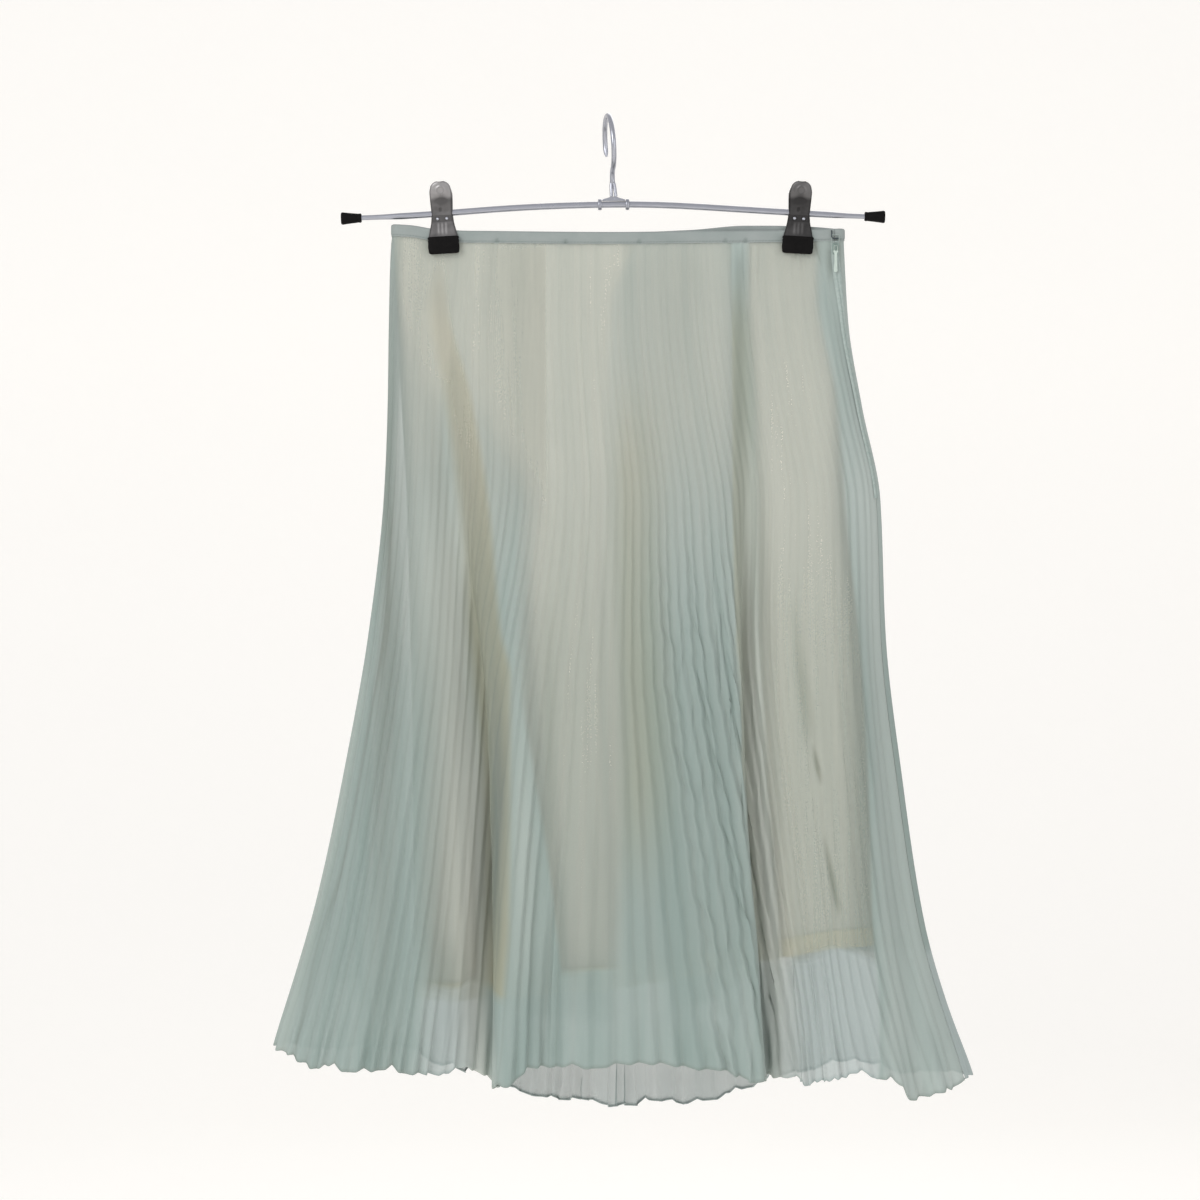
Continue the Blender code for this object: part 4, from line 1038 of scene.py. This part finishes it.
def end_caps():
    outline = [(2.0, -0.2), (3.0, -0.2), (3.5, 0.1), (3.65, 0.6), (3.6, 2.2), (3.35, 2.5), (3.6, 2.8)]
    outline += [(4.0, 7.0), (4.5, 11.5), (4.9, 14.6), (4.75, 15.4), (4.2, 15.9), (2.0, 16.0), (0.01, 16.0)]
    for name, x, way in (("left", BAR_ENDS[0], -1), ("right", BAR_ENDS[1], 1)):
        slope = math.atan(bar_height(x - way) - bar_height(x))
        reach = CAP_BORE - SEAM_GAP
        z = bar_height(x) + reach * math.tan(slope)
        matrix = placed(x - way * reach + HANG_X, 0.0, z, (way * (math.pi / 2 + slope), "Y"))
        turned(f"end_cap_{name}", outline, matrix, vinyl_finish, slot="vinyl", replaces=f"bar_cap_{name}")


def saddle():
    """The welded yoke between stem and bar: a small flared plate with a slot, and a collar at each side."""
    curve = bpy.data.curves.new("saddle", "CURVE")
    curve.dimensions = "2D"
    curve.fill_mode = "BOTH"
    curve.extrude, curve.bevel_depth, curve.bevel_resolution = 1.1 * MM, 0.4 * MM, 3
    edge = [(-8.6, -64.8), (8.6, -64.8), (8.4, -64.2), (5.2, -63.4), (3.3, -62.7), (2.4, -62.2)]
    edge += [(-x, z) for x, z in edge[:1:-1]]
    for outline in (edge, [(-1.2, -64.0), (1.2, -64.0), (0.8, -63.2), (-0.8, -63.2)]):
        spline = curve.splines.new("POLY")
        spline.points.add(len(outline) - 1)
        spline.use_cyclic_u = True
        for point, (x, z) in zip(spline.points, outline):
            point.co = (x * MM, z * MM, 0.0, 1.0)
    curve.materials.append(wire_finish)
    made = piece("saddle", curve, slot="wire", replaces="hook_saddle")
    made.matrix_world = placed(HANG_X, 0.0, 0.0, (math.pi / 2, "X"))
    collar = [(2.6, -COLLAR_HALF), (3.9, -COLLAR_HALF), (4.3, -1.2), (4.45, -0.5), (4.3, 0.0)]
    collar += [(radius, -along) for radius, along in collar[-2::-1]]
    # Painted shade at the collar's ends and in its middle groove
    grime = (0.6, 0.2, 0, 0, 0.5, 0, 0, 0.2, 0.6)
    for name, way in (("left", -1), ("right", 1)):
        stands_for = {"slot": "wire", "replaces": f"hook_collar_{name}"}
        x = way * (SADDLE_HALF + SEAM_GAP + COLLAR_HALF)
        matrix = placed(x + HANG_X, 0.0, bar_height(x), (math.pi / 2, "Y"))
        turned(f"collar_{name}", collar, matrix, wire_finish, grime=grime, **stands_for)


hanger_bar()
hook_wire()
end_caps()
saddle()
dress("waist_hook", plated("dark_hook", (0.10, 0.12, 0.13), 0.4, 0.6))

# Clips
# Two spring clips threaded on the bar. Each has two stamped plates with a domed thumb end, a pressed
# dimple, a slot and three stiffening ribs, two rivets and a coil spring between them, and black vinyl pads
# pushed on the plates' feet that grip the waistband.
# The last column paints the right clip darker than the left, as painted reflection
CLIPS = zip(("left", "right"), CLIP_PLACES, (3.4, -3.4), (0.60, 0.26))  # name, jaw's x, lean, brightness
# Height over the bar's axis, distance from the middle plane, half width
PLATE = table(
    (-19, 5.1, 11.6), (-14, 4.9, 10.4), (-7, 4.5, 8.8), (0, 4.5, 8.2), (6, 6.4, 8.4), (15, 10, 8.6),
    (19.9, 11.4, 7.6), (22.4, 11.9, 5.6), (23.6, 12, 3),
)
PLATE_WALL, PLATE_DOME = 0.9, 19.4  # thickness, and where the thumb end starts to round off
PAD_FOOT, PAD_TOP = -32.4, -19.0
PAD_HALF, PAD_DEEP = 12.25, 2.25  # half width and half thickness
PAD_SQUARED = 0.32
JAW = 3.62  # from the middle plane to a pad's gripping face
COIL_WIRE, COIL_TURNS, COIL_PITCH = 0.6, 3, 2.4


def clip_place(jaw_x, lean):
    tilt = math.radians(lean)
    x = jaw_x + math.sin(tilt) * (PAD_TOP + PAD_FOOT) / 2
    return placed(x + HANG_X, 0.0, bar_height(x), (-tilt, "Y"))


def stamped_plate(name, side, place, material):
    way = -1 if side == "front" else 1
    dome = PLATE_DOME + 4.2 * np.sin(np.linspace(0.08, 1.57, 16))
    heights = np.concatenate((np.linspace(PAD_TOP, PLATE_DOME, 78), dome))
    across = np.sin(np.linspace(-math.pi / 2, math.pi / 2, 41))
    rows, grime = [], []
    for above in heights:
        half = read(PLATE, above, 2)
        out = read(PLATE, above, 1) + 1.0 * smooth(0.0, 10.0, above) * (1 - across**2)
        x = across * half
        # Rolled edges, deepest beside the bar where the ears fold in
        ear = 2.6 * math.exp(-((above + 2.0) / 6.0) ** 2) + 0.9
        out = out - ear * smooth(0.80, 1.0, np.abs(across)) ** 1.5
        dimple = np.exp(-((x / 4.2) ** 2) - ((above - 10.0) / 2.8) ** 2)
        slot = np.exp(-(((x + 1.0) / 0.9) ** 4) - ((above - 2.4) / 1.5) ** 4)
        boss = np.hypot(x, above - 16.8)
        ring = swell(boss, 2.9, 0.7)
        ribs = sum(swell(x, at, 0.75) for at in (-3.0, 0.0, 3.0))
        ribs = ribs * smooth(-18.5, -15.0, above) * (1 - smooth(-9.5, -7.0, above))
        step = smooth(-7.6, -6.6, above) - smooth(-2.6, -1.6, above)
        out = out - 0.9 * dimple - 0.6 * slot + 0.45 * ring + 0.5 * ribs - 0.35 * step
        rows.append(np.stack((x, way * out, np.full_like(x, above)), 1))
        # Painted shade: darker below the thumb end, in the dimple, slot and step, inside the ring and along
        # the rims, with the ribs kept lighter as a painted highlight
        rim = smooth(0.84, 1.0, np.abs(across)) + smooth(22.0, 23.6, above)
        darkening = 0.72 * (1 - smooth(9.0, 13.0, above)) + 0.9 * dimple + slot + 0.5 * rim
        darkening = darkening + 0.4 * np.clip(step, 0, 1) + 0.3 * ring * (boss < 2.9) - 0.45 * ribs
        grime.append(np.clip(darkening, 0, 1))
    mesh = grid_mesh(f"clip_{name}_stamping_{side}", rows, material, grime=grime)
    mesh.transform(place)
    made = piece(mesh.name, mesh, slot="plate", replaces=f"clip_{name}_plate_{side}")
    shell = made.modifiers.new("wall", "SOLIDIFY")
    shell.thickness, shell.offset = PLATE_WALL * MM, 0.0
    return made


def moulded_pad(name, side, place):
    """A sleeve of vinyl, flat where it grips, crowned outside, with a groove round its top edge."""
    way = -1 if side == "front" else 1
    turn = np.linspace(0, 2 * math.pi, 72, endpoint=False)
    # Distance below the pad's top, and share of its full size
    levels = [(0.0, 0.05), (0.0, 0.6), (0.0, 0.93), (0.35, 0.99), (0.9, 1.0), (1.7, 1.0), (2.0, 0.965)]
    levels += [(2.4, 0.965), (2.7, 1.0), (5.0, 1.0), (8.0, 1.0), (10.5, 1.0), (12.0, 0.985), (12.9, 0.94)]
    levels += [(13.4, 0.84), (13.4, 0.5), (13.4, 0.05)]
    rows = []
    for down, size in levels:
        half = PAD_HALF * size * (1 + 0.012 * math.sin(down))
        deep = PAD_DEEP * (0.55 + 0.45 * size)
        x = half * squared_off(np.cos(turn), PAD_SQUARED)
        y = deep * squared_off(np.sin(turn), PAD_SQUARED) * (1.0 if size > 0.5 else size)
        crown = 0.45 * (1 - (x / PAD_HALF) ** 2) * (y * way > 0)
        depth = way * (JAW + PAD_DEEP) + y + way * crown
        rows.append(np.stack((x, depth, np.full_like(x, PAD_TOP - down)), 1))
    mesh = grid_mesh(f"clip_{name}_grip_{side}", rows, vinyl_finish, around=True)
    mesh.transform(place)
    return piece(mesh.name, mesh, slot="vinyl", replaces=f"clip_{name}_pad_{side}")


def rivets(name, place, material):
    """Two small domed heads on each plate, below the bar, where the ears are closed."""
    dome = [(1.25, 0.0), (1.3, 0.25), (1.1, 0.6), (0.6, 0.85), (0.02, 0.92)]
    for side, way in (("front", -1), ("back", 1)):
        for label, x in (("a", -3.6), ("b", 3.6)):
            head = place @ placed(x, way * 4.6, -4.7, (-way * math.pi / 2, "X"))
            turned(f"clip_{name}_rivet_{side}_{label}", dome, head, material, steps=20, slot="plate")


def coil(name, place, material):
    radius, per_turn = BAR_RADIUS + SEAM_GAP + COIL_WIRE, 30
    points = []
    for step in range(COIL_TURNS * per_turn + 1):
        turn = 2 * math.pi * step / per_turn
        shift = COIL_PITCH * (step / per_turn - COIL_TURNS / 2)
        spot = place @ (Vector((shift, radius * math.cos(turn), radius * math.sin(turn))) * MM)
        points.append(tuple(c / MM for c in spot))
    wire(f"clip_{name}_coil", [points], COIL_WIRE, material, slot="wire", replaces=f"clip_{name}_spring")


for name, jaw_x, lean, bright in CLIPS:
    here = clip_place(jaw_x, lean)
    # One steel finish per clip, the right one painted darker as painted reflection
    stamping = plated(f"stamped_steel_{name}", [c * bright for c in (0.62, 0.60, 0.60)], 0.34, 0.6)
    for side in ("front", "back"):
        stamped_plate(name, side, here, stamping)
        moulded_pad(name, side, here)
    rivets(name, here, wire_finish)
    coil(name, here, wire_finish)
